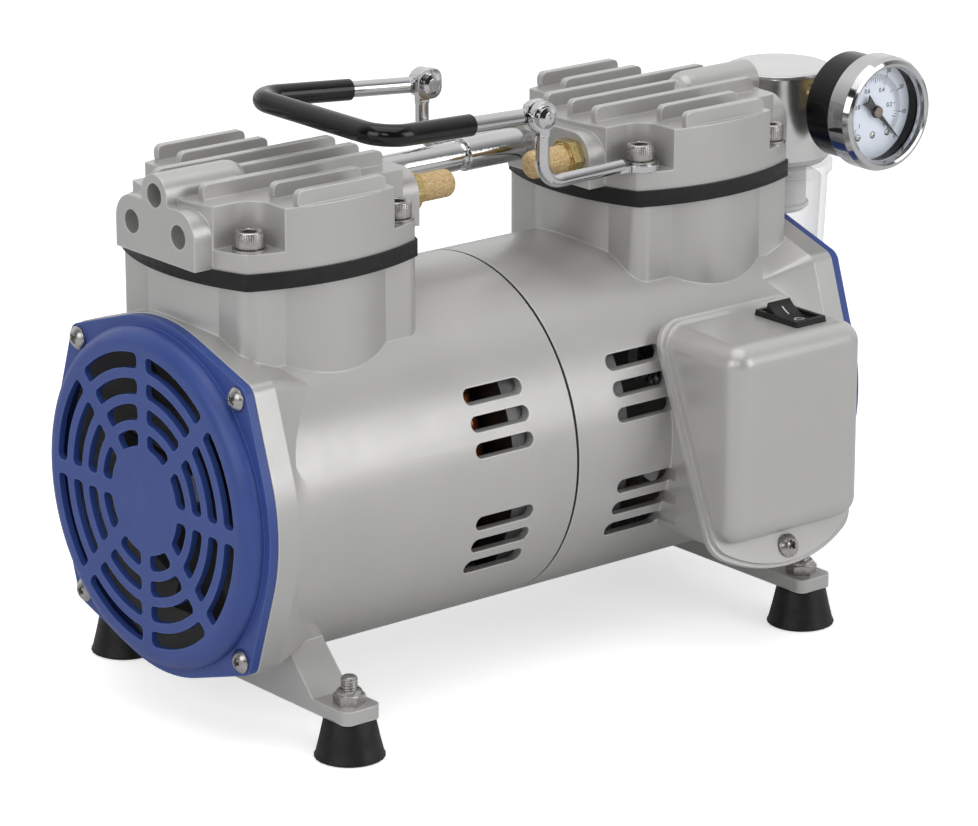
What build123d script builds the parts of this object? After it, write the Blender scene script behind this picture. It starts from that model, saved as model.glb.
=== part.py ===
"""Twin-head diaphragm vacuum pump with a carrying handle, a water trap and a vacuum gauge.

Millimetres. +X runs along the motor shaft from the front guard to the trap, -Y is the side with the
terminal box, +Z is up. The origin lies on the bench, under the middle of the machine's box.
"""
from build123d import *
from math import acos, cos, degrees, radians, sin, sqrt, tan
import os

os.makedirs("parts", exist_ok=True)

# ---- driving dimensions ---------------------------------------------------------------------------
# motor body
SHAFT_Z = 84.0          # height of the shaft above the bench
BODY_R = 64.6           # outside radius of the cast tube
WALL = 3.5              # its wall
END_X = 134.6           # middle of the machine to the face that a guard is screwed to
SEAM_T = 1.2            # gasket between the two cast halves
FLANGE_R = 65.4         # round end flange
FLANGE_T = 9.0
LUG_R = 5.6             # rounding of the four screw lugs
GUARD_PITCH = 95.0      # square of the guard screws
RAMP_L = 29.0           # a lug fades into the tube over this length from the end
FIT = 0.04              # radial clearance of a running fit
GAP = 0.3               # clearance between pieces that move past each other

# cooling slots in the side of the tube
VENT_X = 19.8           # seam to the near end of a slot
VENT_L = 26.4
VENT_H = 5.5
VENT_PITCH = 9.1
VENT_RISE = 13.5        # first slot above and below the shaft

# legs and feet
FOOT_X = 107.4
FOOT_Y = 68.4
LEG_W = 16.0
LEG_WALL = 3.2          # the legs are hollow from below
PAD_Z = 14.9            # underside of the foot pad, and so the height of a rubber foot
PAD_T = 5.1
PAD_ROUND = 3.4
PAD_REACH = 8.6         # pad beyond the stud
FOOT_R = 12.7
FOOT_TOP_R = 9.2
STUD_R = 3.0
STUD_END_R = 2.7        # mean of the thread that stands free above the nut
STUD_TOP = 29.9
NUT_H = 3.8             # hexagon of the lock nut
NUT_COLLAR = 1.4        # its nylon collar

# cylinders and heads
HEAD_X = 88.5           # middle of the machine to a cylinder's axis
BORE_R = 37.0
BARREL_R = 44.0         # outside of the round cylinder under the head
BARREL_FLAT = 38.2      # its axis to the flats of the four bolt columns
BARREL_ROUND = 6.0      # rounding of those columns
BARREL_TOP = 164.8
BAND_CORNER = 37.3      # plan of the diaphragm rim and of the valve plate
BAND_SWELL = 45.4
RIM_T = 2.0
PLATE_T = 3.9
HEAD_CORNER = 36.6
HEAD_SWELL = 44.6
LEDGE_H = 7.0           # thickness of the corners that the head bolts clamp
HEAD_H = 22.2           # valve plate to the deck that carries the fins
BOLT_PITCH = 64.2
BOLT_R = 3.0
BOLT_HEAD_R = 5.1
BOLT_HEAD_H = 6.0
WASHER_T = 1.0
POCKET_R = 8.4          # recess round a bolt
FIN_PITCH = 13.7
FIN_T = 2.8
FIN_H = 5.5
FIN_LONG = 78.0
FIN_SHORT = 38.0
PORT_X = 49.0           # cylinder axis to a port face
PORT_Y = 13.8
PORT_UP = 10.6          # valve plate to a port's axis
PORT_R = 4.3            # 1/8 inch pipe thread
PORT_DEPTH = 12.0
LOBE_R = 9.5
TOP_BOSS_R = 7.6
TOP_BOSS_L = 38.0

# crank drive
THROW = 3.0             # eccentricity of the crank pins
SHAFT_R = 6.0
PIN_R = 10.0
BEARING_R = 16.0
BEARING_W = 10.0
BEARING_X = 61.0
ROD_BEARING_R = 17.5
ROD_W = 10.0
ROD_EYE_R = 23.5
CLAMP_R = 21.0
CLAMP_T = 2.5
TOP_CLEARANCE = 0.6     # clamp disc to valve plate at the top of the stroke

# motor
STATOR_L = 54.0
STATOR_BORE_R = 31.0
AIR_GAP = 0.5
COIL_IN_R = 35.0
COIL_OUT_R = 50.0
COIL_L = 14.0
TIE_IN = 5.0            # inside of the tube to the circle of the four long bolts

# guards and fans
GUARD_T = 3.5
GUARD_SHY = 0.3         # guard plate inside the flange's outline
DOME_R = 61.8
DOME_H = 6.6
DOME_ROUND = 6.0
GUARD_WALL = 2.6
RING_INNER = (19.6, 28.9, 38.2, 47.6)
SLOT_W = 5.8
SLOT_ROUND = 2.0
SPOKE_W = 5.2
FAN_R = 53.0
FAN_X = 115.0
FAN_BLADES = 9

# terminal box
BOX_X = 77.0
BOX_W = 64.0
BOX_TOP = 125.0
BOX_BOTTOM = 50.0
BOX_TILT = 22.0         # lean of the joint between box and motor
BOX_STAND = 7.7         # tube to that joint, at the height BOX_JOINT_Z
BOX_JOINT_Z = 85.0
BOX_DEPTH = 26.7        # from there to the front of the cover
BOX_WALL = 2.5
BOX_ROUND = 8.0
LIP_T = 2.2
LIP_STEP = 1.4          # raised step on the lip, and how far it is set in
LIP_ROUND = 11.0
LIP_RISE = 1.5          # lip above the cover's top
LIP_W = 3.2             # lip beyond the cover's sides
LIP_LOW = 53.0          # joint origin down the slope to the lip's lowest point
LIP_CORNER = 41.5       # joint origin down the slope to where the lip's curve starts
SWITCH_X = 90.0
SWITCH_BACK = 21.0      # front of the cover to the middle of the switch
SWITCH_L = 23.2
SWITCH_W = 15.3
SWITCH_T = 2.0
ROCKER_L = 16.0
ROCKER_W = 11.0
ROCK = 12.0             # the rocker's lean either way
GLAND_Z = 63.5
GLAND_BACK = 2.9        # joint to the middle of the gland
GLAND_R = 5.0
CORD_R = 3.6
CAPACITOR_R = 12.0
CAPACITOR_L = 46.0

# handle
PIVOT_X = 7.7
PIVOT_Z = 205.2
PIVOT_Y = 33.0
GRIP_X = -67.1
GRIP_Z = 210.0
GRIP_Y = 39.0
SLEEVE_X = -25.9
BAR_R = 3.0
SLEEVE_R = 4.0
POST_R = 2.5
EYE_R = 5.6
EYE_T = 3.0
PIVOT_R = 2.0
NECK = 9.0              # flattened length between an eye's middle and the round bar

# trap and gauge
TRAP_X = 167.5
TRAP_Y = 13.8
CAP_R = 20.5
CAP_RISE = 10.7         # port axis to the top of the cap
CAP_H = 37.0
BOWL_R = 20.0
BOWL_END_R = 18.2
BOWL_WALL = 2.6
BOWL_L = 52.0
BOWL_FLANGE_R = 21.6
BOWL_FLANGE_T = 3.6
NECK_R = 15.6
NECK_L = 9.0
SEAL_T = 1.5
STEM_R = 6.0            # stem of the cap that carries the filter
ELEMENT_R = 11.5
ELEMENT_L = 20.0
BARB_L = 24.0
BARB_R = 4.0
GAUGE_RISE = 2.2        # port axis to the gauge's axis
GAUGE_Y = 48.0          # shaft to the gauge's front
CASE_R = 20.2
CASE_L = 14.0
BEZEL_R = 22.0
BEZEL_L = 11.6
DIAL_R = 18.0
POINTER_ANGLE = -45.0   # at zero vacuum, from the three o'clock side

# ---- sizes that follow ----------------------------------------------------------------------------
BOX_JOINT_Y = BODY_R + BOX_STAND
BOX_Y = BOX_JOINT_Y + BOX_DEPTH
SWITCH_Y = BOX_Y - SWITCH_BACK
GLAND_Y = BOX_JOINT_Y - GLAND_BACK
FRONT_REACH = END_X + GUARD_T + DOME_H
REAR_REACH = TRAP_X + CAP_R + BARB_L
FAR_REACH = FOOT_Y + FOOT_R
MID_X = (FRONT_REACH - REAR_REACH) / 2
MID_Y = (BOX_Y - FAR_REACH) / 2
INNER_R = BODY_R - WALL
TIE_R = INNER_R - TIE_IN
PAD_TOP = PAD_Z + PAD_T
NUT_TOP = PAD_TOP + NUT_H + NUT_COLLAR
RIM_TOP = BARREL_TOP + RIM_T
PLATE_TOP = RIM_TOP + PLATE_T
LEDGE_Z = PLATE_TOP + LEDGE_H
DECK_Z = PLATE_TOP + HEAD_H
PORT_Z = PLATE_TOP + PORT_UP
CAP_TOP = PORT_Z + CAP_RISE
CAP_Z = CAP_TOP - CAP_H
GAUGE_Z = PORT_Z + GAUGE_RISE
LUG_REACH = GUARD_PITCH / sqrt(2)
CORNERS = (45, 135, 225, 315)
SIDES = {"front": -1, "rear": 1}


# ---- planes ---------------------------------------------------------------------------------------
def across(x):
    """Plane square to the shaft, its origin on the shaft: local x is +Y and local y is +Z."""
    return Plane(origin=(MID_X + x, MID_Y, SHAFT_Z), x_dir=(0, 1, 0), z_dir=(1, 0, 0))


def level(z, x=0.0, y=0.0):
    """Horizontal plane at height z above the bench."""
    return Plane(origin=(MID_X + x, MID_Y + y, z))


def facing(y, x=0.0, z=0.0):
    """Upright plane that faces -Y: local x is +X and local y is +Z."""
    return Plane(origin=(MID_X + x, MID_Y + y, z), x_dir=(1, 0, 0), z_dir=(0, -1, 0))


def point(x, y, z):
    """A point measured from the middle of the machine at bench height."""
    return Vector(MID_X + x, MID_Y + y, z)


def polar(radius, angle):
    return (radius * cos(radians(angle)), radius * sin(radians(angle)))


# ---- shared forms ---------------------------------------------------------------------------------
def turned(origin, axis, points):
    """Solid of revolution about an axis from origin: each point is (distance along, radius)."""
    side = Vector(0, 0, 1) if abs(Vector(axis).Z) < 0.5 else Vector(1, 0, 0)
    plane = Plane(origin=origin, x_dir=axis, z_dir=Vector(axis).cross(side))
    with BuildPart() as solid:
        with BuildSketch(plane):
            with BuildLine():
                Polyline(*points, close=True)
            make_face()
        revolve(axis=Axis(plane.origin, plane.x_dir))
    return solid.part


def lugged(plane, radius, lug, reach):
    """Round outline with four rounded lugs at a reach from the shaft, joined to it by straight tangents."""
    spread = degrees(acos((radius - lug) / reach))
    with BuildSketch(plane) as outline:
        with BuildLine():
            for turn in CORNERS:
                centre = Vector(*polar(reach, turn))
                first = centre + Vector(*polar(lug, turn - spread))
                last = centre + Vector(*polar(lug, turn + spread))
                Line(polar(radius, turn - spread), first)
                ThreePointArc(first, centre + Vector(*polar(lug, turn)), last)
                Line(last, polar(radius, turn + spread))
                ThreePointArc(polar(radius, turn + spread), polar(radius, turn + 45),
                              polar(radius, turn + 90 - spread))
        make_face()
    return outline.sketch


def swollen(plane, corner, swell, rounding):
    """Square outline whose four sides bow outwards."""
    tips = [(corner, -corner), (corner, corner), (-corner, corner), (-corner, -corner)]
    middles = [(swell, 0), (0, swell), (-swell, 0), (0, -swell)]
    with BuildSketch(plane) as outline:
        with BuildLine():
            for k in range(4):
                ThreePointArc(tips[k], middles[k], tips[(k + 1) % 4])
        make_face()
        fillet(outline.vertices(), rounding)
    return outline.sketch


def bolt_spots():
    """Head bolts in a head's own plan."""
    return GridLocations(BOLT_PITCH, BOLT_PITCH, 2, 2)


# ---- cast housings --------------------------------------------------------------------------------
def box_joint(forward=0.0):
    """Leaning plane where the terminal cover meets the motor; its normal points out of the motor."""
    lean = radians(BOX_TILT)
    normal = Vector(0, -cos(lean), sin(lean))
    return Plane(origin=point(BOX_X, -BOX_JOINT_Y, BOX_JOINT_Z) + normal * forward,
                 x_dir=(1, 0, 0), z_dir=normal)


def lip_outline(plane, inset):
    """Outline of the cover's lip: square shoulders and a round foot."""
    half = BOX_W / 2 + LIP_W - inset
    top = (BOX_TOP + LIP_RISE - BOX_JOINT_Z) / cos(radians(BOX_TILT)) - inset
    with BuildSketch(plane) as outline:
        with BuildLine():
            Polyline((-half, -LIP_CORNER + inset), (-half, top), (half, top), (half, -LIP_CORNER + inset))
            ThreePointArc((half, -LIP_CORNER + inset), (0, -LIP_LOW + inset), (-half, -LIP_CORNER + inset))
        make_face()
        fillet(outline.vertices().group_by(Axis.Z)[-1], LIP_ROUND)
    return outline.sketch


def housing(side):
    """Half of the cast motor body with its cylinder, its end flange and its pair of legs."""
    end = side * END_X
    seam = side * SEAM_T / 2
    low = PAD_Z - SHAFT_Z
    shoulder = BODY_R * 0.66
    outer = FOOT_Y + PAD_REACH
    inner = FOOT_Y - PAD_REACH - 2
    saddle = -sqrt(BODY_R**2 - shoulder**2)
    with BuildPart() as half:
        # the two legs are one web under the tube, with a rounded pad at either end
        with BuildSketch(across(side * FOOT_X - LEG_W / 2)):
            with BuildLine():
                Polyline((-outer, low), (-outer, low + PAD_T), (-inner, low + PAD_T), (-shoulder, saddle),
                         (shoulder, saddle), (inner, low + PAD_T), (outer, low + PAD_T), (outer, low),
                         close=True)
            make_face()
        extrude(amount=LEG_W)
        fillet(half.edges().filter_by(Axis.Z), PAD_ROUND)
        with BuildSketch(level(PAD_Z, side * FOOT_X)):
            Rectangle(LEG_W - 2 * LEG_WALL, 2 * (shoulder - LEG_WALL))
        extrude(amount=saddle - low, mode=Mode.SUBTRACT)
        if side > 0:
            extrude(lip_outline(box_joint(), LIP_W), amount=BOX_JOINT_Y - 20, dir=(0, 1, 0))
            extrude(lip_outline(box_joint(), LIP_W + WALL), amount=BOX_JOINT_Y - 20, dir=(0, 1, 0),
                    mode=Mode.SUBTRACT)
        # tube, cylinder and end flange, whose lugs fade into the tube
        with BuildSketch(across(seam)):
            Circle(BODY_R)
        extrude(amount=end - seam)
        with BuildSketch(level(SHAFT_Z, side * HEAD_X)):
            RectangleRounded(2 * BARREL_FLAT, 2 * BARREL_FLAT, BARREL_ROUND)
            Circle(BARREL_R)
        extrude(amount=BARREL_TOP - SHAFT_Z)
        extrude(lugged(across(end), FLANGE_R, LUG_R, LUG_REACH), amount=-side * FLANGE_T)
        hidden = BODY_R - 0.3
        loft([lugged(across(end - side * FLANGE_T), FLANGE_R, LUG_R, LUG_REACH),
              lugged(across(end - side * RAMP_L), hidden, LUG_R, (hidden - LUG_R) * 1.001)], ruled=True)
        # inside of the tube, and the cylinder's bore down into it
        with BuildSketch(across(seam)):
            Circle(INNER_R)
        extrude(amount=end - seam, mode=Mode.SUBTRACT)
        with BuildSketch(level(SHAFT_Z + BEARING_R + 20, side * HEAD_X)):
            Circle(BORE_R)
        extrude(amount=BARREL_TOP, mode=Mode.SUBTRACT)
        # bearing bulkhead with air holes
        with BuildSketch(across(side * (BEARING_X - 2))):
            Circle(INNER_R + WALL / 2)
            with PolarLocations(INNER_R * 0.62, 6, 30):
                Circle(9, mode=Mode.SUBTRACT)
        extrude(amount=side * 4)
        with BuildSketch(across(side * (BEARING_X - BEARING_W / 2 - 2))):
            Circle(BEARING_R + 4)
        extrude(amount=side * (BEARING_W + 4))
        with BuildSketch(across(side * (BEARING_X - BEARING_W / 2))):
            Circle(BEARING_R)
        extrude(amount=side * (BEARING_W + 10), mode=Mode.SUBTRACT)
        with BuildSketch(across(side * (BEARING_X - BEARING_W))):
            Circle(SHAFT_R + 3)
            with PolarLocations(TIE_R, 4, 45):
                Circle(2.5)
        extrude(amount=side * BEARING_W * 2, mode=Mode.SUBTRACT)
        # cooling slots through both sides
        with BuildSketch(facing(-BODY_R - 2)):
            rises = [VENT_RISE + k * VENT_PITCH for k in range(3)]
            middle = side * (VENT_X + VENT_L / 2)
            with Locations(*[(middle, SHAFT_Z + way * rise) for rise in rises for way in (-1, 1)]):
                SlotOverall(VENT_L, VENT_H)
        extrude(amount=-(BODY_R + 2) * 2, mode=Mode.SUBTRACT)
        # screw holes for the guard, the head and the feet
        with BuildSketch(across(end)):
            with GridLocations(GUARD_PITCH, GUARD_PITCH, 2, 2):
                Circle(2.0)
        extrude(amount=-side * 16, mode=Mode.SUBTRACT)
        with BuildSketch(level(BARREL_TOP, side * HEAD_X)):
            with bolt_spots():
                Circle(BOLT_R)
        extrude(amount=-20, mode=Mode.SUBTRACT)
        with BuildSketch(level(PAD_Z, side * FOOT_X)):
            with GridLocations(1, 2 * FOOT_Y, 1, 2):
                Circle(STUD_R)
        extrude(amount=PAD_T, mode=Mode.SUBTRACT)
        if side > 0:
            with BuildSketch(facing(-BODY_R + WALL + 4, BOX_X, SHAFT_Z)):
                Circle(6)
            extrude(amount=WALL + 10, mode=Mode.SUBTRACT)
            with BuildSketch(across(BOX_X + BOX_W / 2 + 1)):
                with Locations((-GLAND_Y, GLAND_Z - SHAFT_Z)):
                    Circle(GLAND_R)
            extrude(amount=-WALL - 2, mode=Mode.SUBTRACT)
            with BuildSketch(box_joint()):
                with Locations((0, -LIP_LOW + 7)):
                    Circle(2.0)
            extrude(amount=-12, mode=Mode.SUBTRACT)
    return half.part


for name, side in SIDES.items():
    body = housing(side)
    body.label = name + "_housing"
    export_step(body, "parts/" + body.label + ".step")

with BuildPart() as seam_gasket:
    with BuildSketch(across(-SEAM_T / 2)):
        Circle(BODY_R - 0.4)
        Circle(INNER_R, mode=Mode.SUBTRACT)
    extrude(amount=SEAM_T)
seam_gasket.part.label = "seam_gasket"
export_step(seam_gasket.part, "parts/seam_gasket.step")


# ---- fan guards -----------------------------------------------------------------------------------
def curved_slots():
    """Rings of curved slots between eight spokes, drawn flat about the origin."""
    with BuildSketch() as slots:
        for inner in RING_INNER:
            outer = inner + SLOT_W
            near, far = degrees(SPOKE_W / 2 / inner), degrees(SPOKE_W / 2 / outer)
            for turn in range(0, 360, 45):
                with BuildSketch() as slot:
                    with BuildLine():
                        ThreePointArc(polar(inner, turn + near), polar(inner, turn + 22.5),
                                      polar(inner, turn + 45 - near))
                        Line(polar(inner, turn + 45 - near), polar(outer, turn + 45 - far))
                        ThreePointArc(polar(outer, turn + 45 - far), polar(outer, turn + 22.5),
                                      polar(outer, turn + far))
                        Line(polar(outer, turn + far), polar(inner, turn + near))
                    make_face()
                    fillet(slot.vertices(), SLOT_ROUND)
                add(slot.sketch)
    return slots.sketch


def dome(side, radius, height, rounding):
    """Round plug that stands on the flange face, its front edge rounded."""
    with BuildPart() as plug:
        with BuildSketch(across(side * END_X)):
            Circle(radius)
        extrude(amount=side * height)
        front = plug.faces().sort_by(Axis.X)[-1 if side > 0 else 0]
        fillet(front.edges(), rounding)
    return plug.part


def guard(side):
    """Moulded guard: a lugged plate with a low dome, pierced by rings of curved slots."""
    height = GUARD_T + DOME_H
    with BuildPart() as cover:
        extrude(lugged(across(side * END_X), FLANGE_R - GUARD_SHY, LUG_R - GUARD_SHY, LUG_REACH),
                amount=side * GUARD_T)
        add(dome(side, DOME_R, height, DOME_ROUND))
        add(dome(side, DOME_R - GUARD_WALL, height - GUARD_WALL, DOME_ROUND - GUARD_WALL), mode=Mode.SUBTRACT)
        extrude(across(side * END_X).from_local_coords(curved_slots()), amount=side * (height + 1),
                mode=Mode.SUBTRACT)
        with BuildSketch(across(side * END_X)):
            with GridLocations(GUARD_PITCH, GUARD_PITCH, 2, 2):
                Circle(2.3)
        extrude(amount=side * GUARD_T, mode=Mode.SUBTRACT)
    return cover.part


for name, side in SIDES.items():
    cover = guard(side)
    cover.label = name + "_guard"
    export_step(cover, "parts/" + cover.label + ".step")

with BuildPart() as guard_screws:
    for side in SIDES.values():
        for y, z in ((1, 1), (1, -1), (-1, 1), (-1, -1)):
            seat = point(side * (END_X + GUARD_T), y * GUARD_PITCH / 2, SHAFT_Z + z * GUARD_PITCH / 2)
            add(turned(seat, (side, 0, 0), [(-14, 0), (-14, 2.0), (0, 2.0), (0, 4.2), (1.4, 4.0), (2.6, 2.4),
                                            (2.9, 1.2), (1.4, 0.9), (1.4, 0)]))
guard_screws.part.label = "guard_screws"
export_step(guard_screws.part, "parts/guard_screws.step")


# ---- motor ----------------------------------------------------------------------------------------
with BuildPart() as stator_core:
    with BuildSketch(across(-STATOR_L / 2)):
        Circle(INNER_R)
        Circle(STATOR_BORE_R, mode=Mode.SUBTRACT)
        with PolarLocations(INNER_R, 4, 45):
            Circle(INNER_R - TIE_R + 3, mode=Mode.SUBTRACT)
    extrude(amount=STATOR_L)
stator_core.part.label = "stator_core"
export_step(stator_core.part, "parts/stator_core.step")

with BuildPart() as windings:
    for way in (-1, 1):
        start = point(way * STATOR_L / 2, 0, SHAFT_Z)
        add(turned(start, (way, 0, 0), [(0, COIL_IN_R), (0, COIL_OUT_R), (COIL_L * 0.6, COIL_OUT_R),
                                        (COIL_L, COIL_OUT_R - 5), (COIL_L, COIL_IN_R + 4),
                                        (COIL_L * 0.7, COIL_IN_R)]))
windings.part.label = "windings"
export_step(windings.part, "parts/windings.step")

with BuildPart() as housing_bolts:
    with BuildSketch(across(-BEARING_X - 2)):
        with PolarLocations(TIE_R, 4, 45):
            Circle(2.5)
    extrude(amount=2 * (BEARING_X + 2))
    for way in (-1, 1):
        with BuildSketch(across(way * (BEARING_X + 2))):
            with PolarLocations(TIE_R, 4, 45):
                RegularPolygon(4.6, 6)
        extrude(amount=way * 4)
housing_bolts.part.label = "housing_bolts"
export_step(housing_bolts.part, "parts/housing_bolts.step")

with BuildPart() as main_bearings:
    race, seal = SHAFT_R + 2.6, BEARING_R - 2.6
    for way in (-1, 1):
        add(turned(point(way * (BEARING_X - BEARING_W / 2), 0, SHAFT_Z), (way, 0, 0),
                   [(0, SHAFT_R + FIT), (0, race), (0.8, race), (0.8, seal), (0, seal), (0, BEARING_R),
                    (BEARING_W, BEARING_R), (BEARING_W, seal), (BEARING_W - 0.8, seal),
                    (BEARING_W - 0.8, race), (BEARING_W, race), (BEARING_W, SHAFT_R + FIT)]))
main_bearings.part.label = "main_bearings"
export_step(main_bearings.part, "parts/main_bearings.step")

with BuildPart() as motor_shaft:
    add(turned(point(-FAN_X - 9, 0, SHAFT_Z), (1, 0, 0),
               [(0, 0), (0, SHAFT_R - 0.8), (0.8, SHAFT_R), (FAN_X + 9 - BEARING_X + 8, SHAFT_R),
                (FAN_X + 9 - BEARING_X + 8, SHAFT_R + 2), (FAN_X + 9 + BEARING_X - 8, SHAFT_R + 2),
                (FAN_X + 9 + BEARING_X - 8, SHAFT_R), (2 * FAN_X + 17.2, SHAFT_R),
                (2 * FAN_X + 18, SHAFT_R - 0.8), (2 * FAN_X + 18, 0)]))
motor_shaft.part.label = "motor_shaft"
export_step(motor_shaft.part, "parts/motor_shaft.step")

with BuildPart() as rotor_core:
    with BuildSketch(across(-STATOR_L / 2)):
        Circle(STATOR_BORE_R - AIR_GAP)
        Circle(SHAFT_R + 2, mode=Mode.SUBTRACT)
    extrude(amount=STATOR_L)
rotor_core.part.label = "rotor_core"
export_step(rotor_core.part, "parts/rotor_core.step")

with BuildPart() as rotor_rings:
    for way in (-1, 1):
        with BuildSketch(across(way * STATOR_L / 2)):
            Circle(STATOR_BORE_R - 2)
            Circle(STATOR_BORE_R - 11, mode=Mode.SUBTRACT)
        extrude(amount=way * 5)
        with BuildSketch(across(way * (STATOR_L / 2 + 5))):
            with PolarLocations(STATOR_BORE_R - 6.5, 8):
                Rectangle(7, 2)
        extrude(amount=way * 5)
rotor_rings.part.label = "rotor_rings"
export_step(rotor_rings.part, "parts/rotor_rings.step")


# ---- eccentrics, rods and diaphragms --------------------------------------------------------------
def pin_shift(side):
    """Height of a crank pin above the shaft: the front pin is at the top, the rear one at the bottom."""
    return -side * THROW


def eccentric(side):
    """Crank pin turned off-centre on the shaft, with a balance weight on the side away from the pin."""
    shift = pin_shift(side)
    inner = HEAD_X - ROD_W / 2 - 1
    heavy = ROD_EYE_R + 5
    with BuildPart() as crank:
        with BuildSketch(across(side * inner)):
            with Locations((0, shift)):
                Circle(PIN_R)
        extrude(amount=side * (ROD_W + 2))
        with BuildSketch(across(side * (inner + ROD_W + 2))):
            Circle(PIN_R + 3)
            with BuildLine():
                CenterArc((0, 0), heavy, 200 if shift > 0 else 20, 140)
                Line(polar(heavy, 200 if shift > 0 else 20), (0, 0))
                Line((0, 0), polar(heavy, 340 if shift > 0 else 160))
            make_face()
        extrude(amount=side * 6)
        with BuildSketch(across(side * inner)):
            Circle(SHAFT_R)
        extrude(amount=side * 30, mode=Mode.SUBTRACT)
    return crank.part


def rod_bearing(side):
    """Ball bearing between a crank pin and its rod."""
    near = HEAD_X - ROD_W / 2
    seal = ROD_BEARING_R - 2.6
    with BuildPart() as ring:
        add(turned(point(side * near, 0, SHAFT_Z + pin_shift(side)), (side, 0, 0),
                   [(0, PIN_R + FIT), (0, PIN_R + 2.4), (0.8, PIN_R + 2.4), (0.8, seal), (0, seal),
                    (0, ROD_BEARING_R), (ROD_W, ROD_BEARING_R), (ROD_W, seal), (ROD_W - 0.8, seal),
                    (ROD_W - 0.8, PIN_R + 2.4), (ROD_W, PIN_R + 2.4), (ROD_W, PIN_R + FIT)]))
    return ring.part


def clamp_z(side):
    """Top of the diaphragm's middle, where the clamp disc sits."""
    return RIM_TOP - TOP_CLEARANCE - CLAMP_T - THROW + pin_shift(side)


def rod(side):
    """Connecting rod: a bearing eye, a waisted web and a round table under the diaphragm."""
    eye_z = SHAFT_Z + pin_shift(side)
    table = clamp_z(side) - RIM_T
    x = side * HEAD_X
    with BuildPart() as link:
        with BuildSketch(across(x - ROD_W / 2)):
            with Locations((0, pin_shift(side))):
                Circle(ROD_EYE_R)
        extrude(amount=ROD_W)
        with BuildSketch(level(eye_z + ROD_EYE_R - 4, x)):
            Rectangle(ROD_W - 1, 22)
        with BuildSketch(level(table - 3, x)):
            Rectangle(ROD_W - 1, 16)
        loft()
        with BuildSketch(facing(-20, x)):
            with Locations((0, (eye_z + ROD_EYE_R + table) / 2)):
                SlotOverall(table - eye_z - ROD_EYE_R - 14, 4.5, rotation=90)
        extrude(amount=-14.5, mode=Mode.SUBTRACT)
        with BuildSketch(facing(20, x)):
            with Locations((0, (eye_z + ROD_EYE_R + table) / 2)):
                SlotOverall(table - eye_z - ROD_EYE_R - 14, 4.5, rotation=90)
        extrude(amount=14.5, mode=Mode.SUBTRACT)
        add(turned(point(x, 0, table), (0, 0, 1), [(0, 0), (0, CLAMP_R), (-2.5, CLAMP_R), (-8, 9), (-8, 0)]))
        with BuildSketch(across(x - ROD_W / 2)):
            with Locations((0, pin_shift(side))):
                Circle(ROD_BEARING_R)
        extrude(amount=ROD_W, mode=Mode.SUBTRACT)
        with BuildSketch(level(table, x)):
            Circle(3)
        extrude(amount=-16, mode=Mode.SUBTRACT)
    return link.part


def clamp(side):
    """Domed disc and its countersunk screw that hold the diaphragm's middle on the rod."""
    with BuildPart() as disc:
        add(turned(point(side * HEAD_X, 0, clamp_z(side)), (0, 0, 1),
                   [(-RIM_T - 14, 0), (-RIM_T - 14, 3), (0, 3), (0, CLAMP_R), (1, CLAMP_R),
                    (CLAMP_T, CLAMP_R - 3), (CLAMP_T, 2.2), (CLAMP_T - 1.6, 2.2), (CLAMP_T - 1.6, 0)]))
    return disc.part


def diaphragm(side):
    """Rubber diaphragm: flat clamped rim, one rolled fold and a flat middle."""
    x = side * HEAD_X
    middle = clamp_z(side)
    with BuildPart() as skin:
        extrude(swollen(level(BARREL_TOP, x), BAND_CORNER, BAND_SWELL, 3), amount=RIM_T)
        with BuildSketch(level(BARREL_TOP, x)):
            Circle(BORE_R - 1)
        extrude(amount=RIM_T, mode=Mode.SUBTRACT)
        add(turned(point(x, 0, 0), (0, 0, 1),
                   [(middle, 3), (middle, CLAMP_R + 1), (middle + 1.2, CLAMP_R + 3), (RIM_TOP, BORE_R - 2),
                    (RIM_TOP, BORE_R), (BARREL_TOP, BORE_R), (BARREL_TOP, BORE_R - 1),
                    (middle - RIM_T + 1.2, CLAMP_R + 4), (middle - RIM_T, CLAMP_R + 2), (middle - RIM_T, 3)]))
        with BuildSketch(level(BARREL_TOP, x)):
            with bolt_spots():
                Circle(BOLT_R)
        extrude(amount=RIM_T, mode=Mode.SUBTRACT)
    return skin.part


def valve_plate(side):
    """Plate over the diaphragm, with a suction port and a delivery port."""
    x = side * HEAD_X
    with BuildPart() as plate:
        extrude(swollen(level(RIM_TOP, x), BAND_CORNER, BAND_SWELL, 3), amount=PLATE_T)
        with BuildSketch(level(RIM_TOP, x)):
            with bolt_spots():
                Circle(BOLT_R)
            for way in (-1, 1):
                with GridLocations(7, 0, 3, 1):
                    with Locations((0, way * PORT_Y)):
                        Circle(2)
        extrude(amount=PLATE_T, mode=Mode.SUBTRACT)
    return plate.part


for name, side in SIDES.items():
    pieces = {"eccentric": eccentric(side), "rod_bearing": rod_bearing(side), "rod": rod(side),
              "clamp_disc": clamp(side), "diaphragm": diaphragm(side), "valve_plate": valve_plate(side)}
    for kind, piece in pieces.items():
        piece.label = name + "_" + kind
        export_step(piece, "parts/" + piece.label + ".step")


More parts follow.
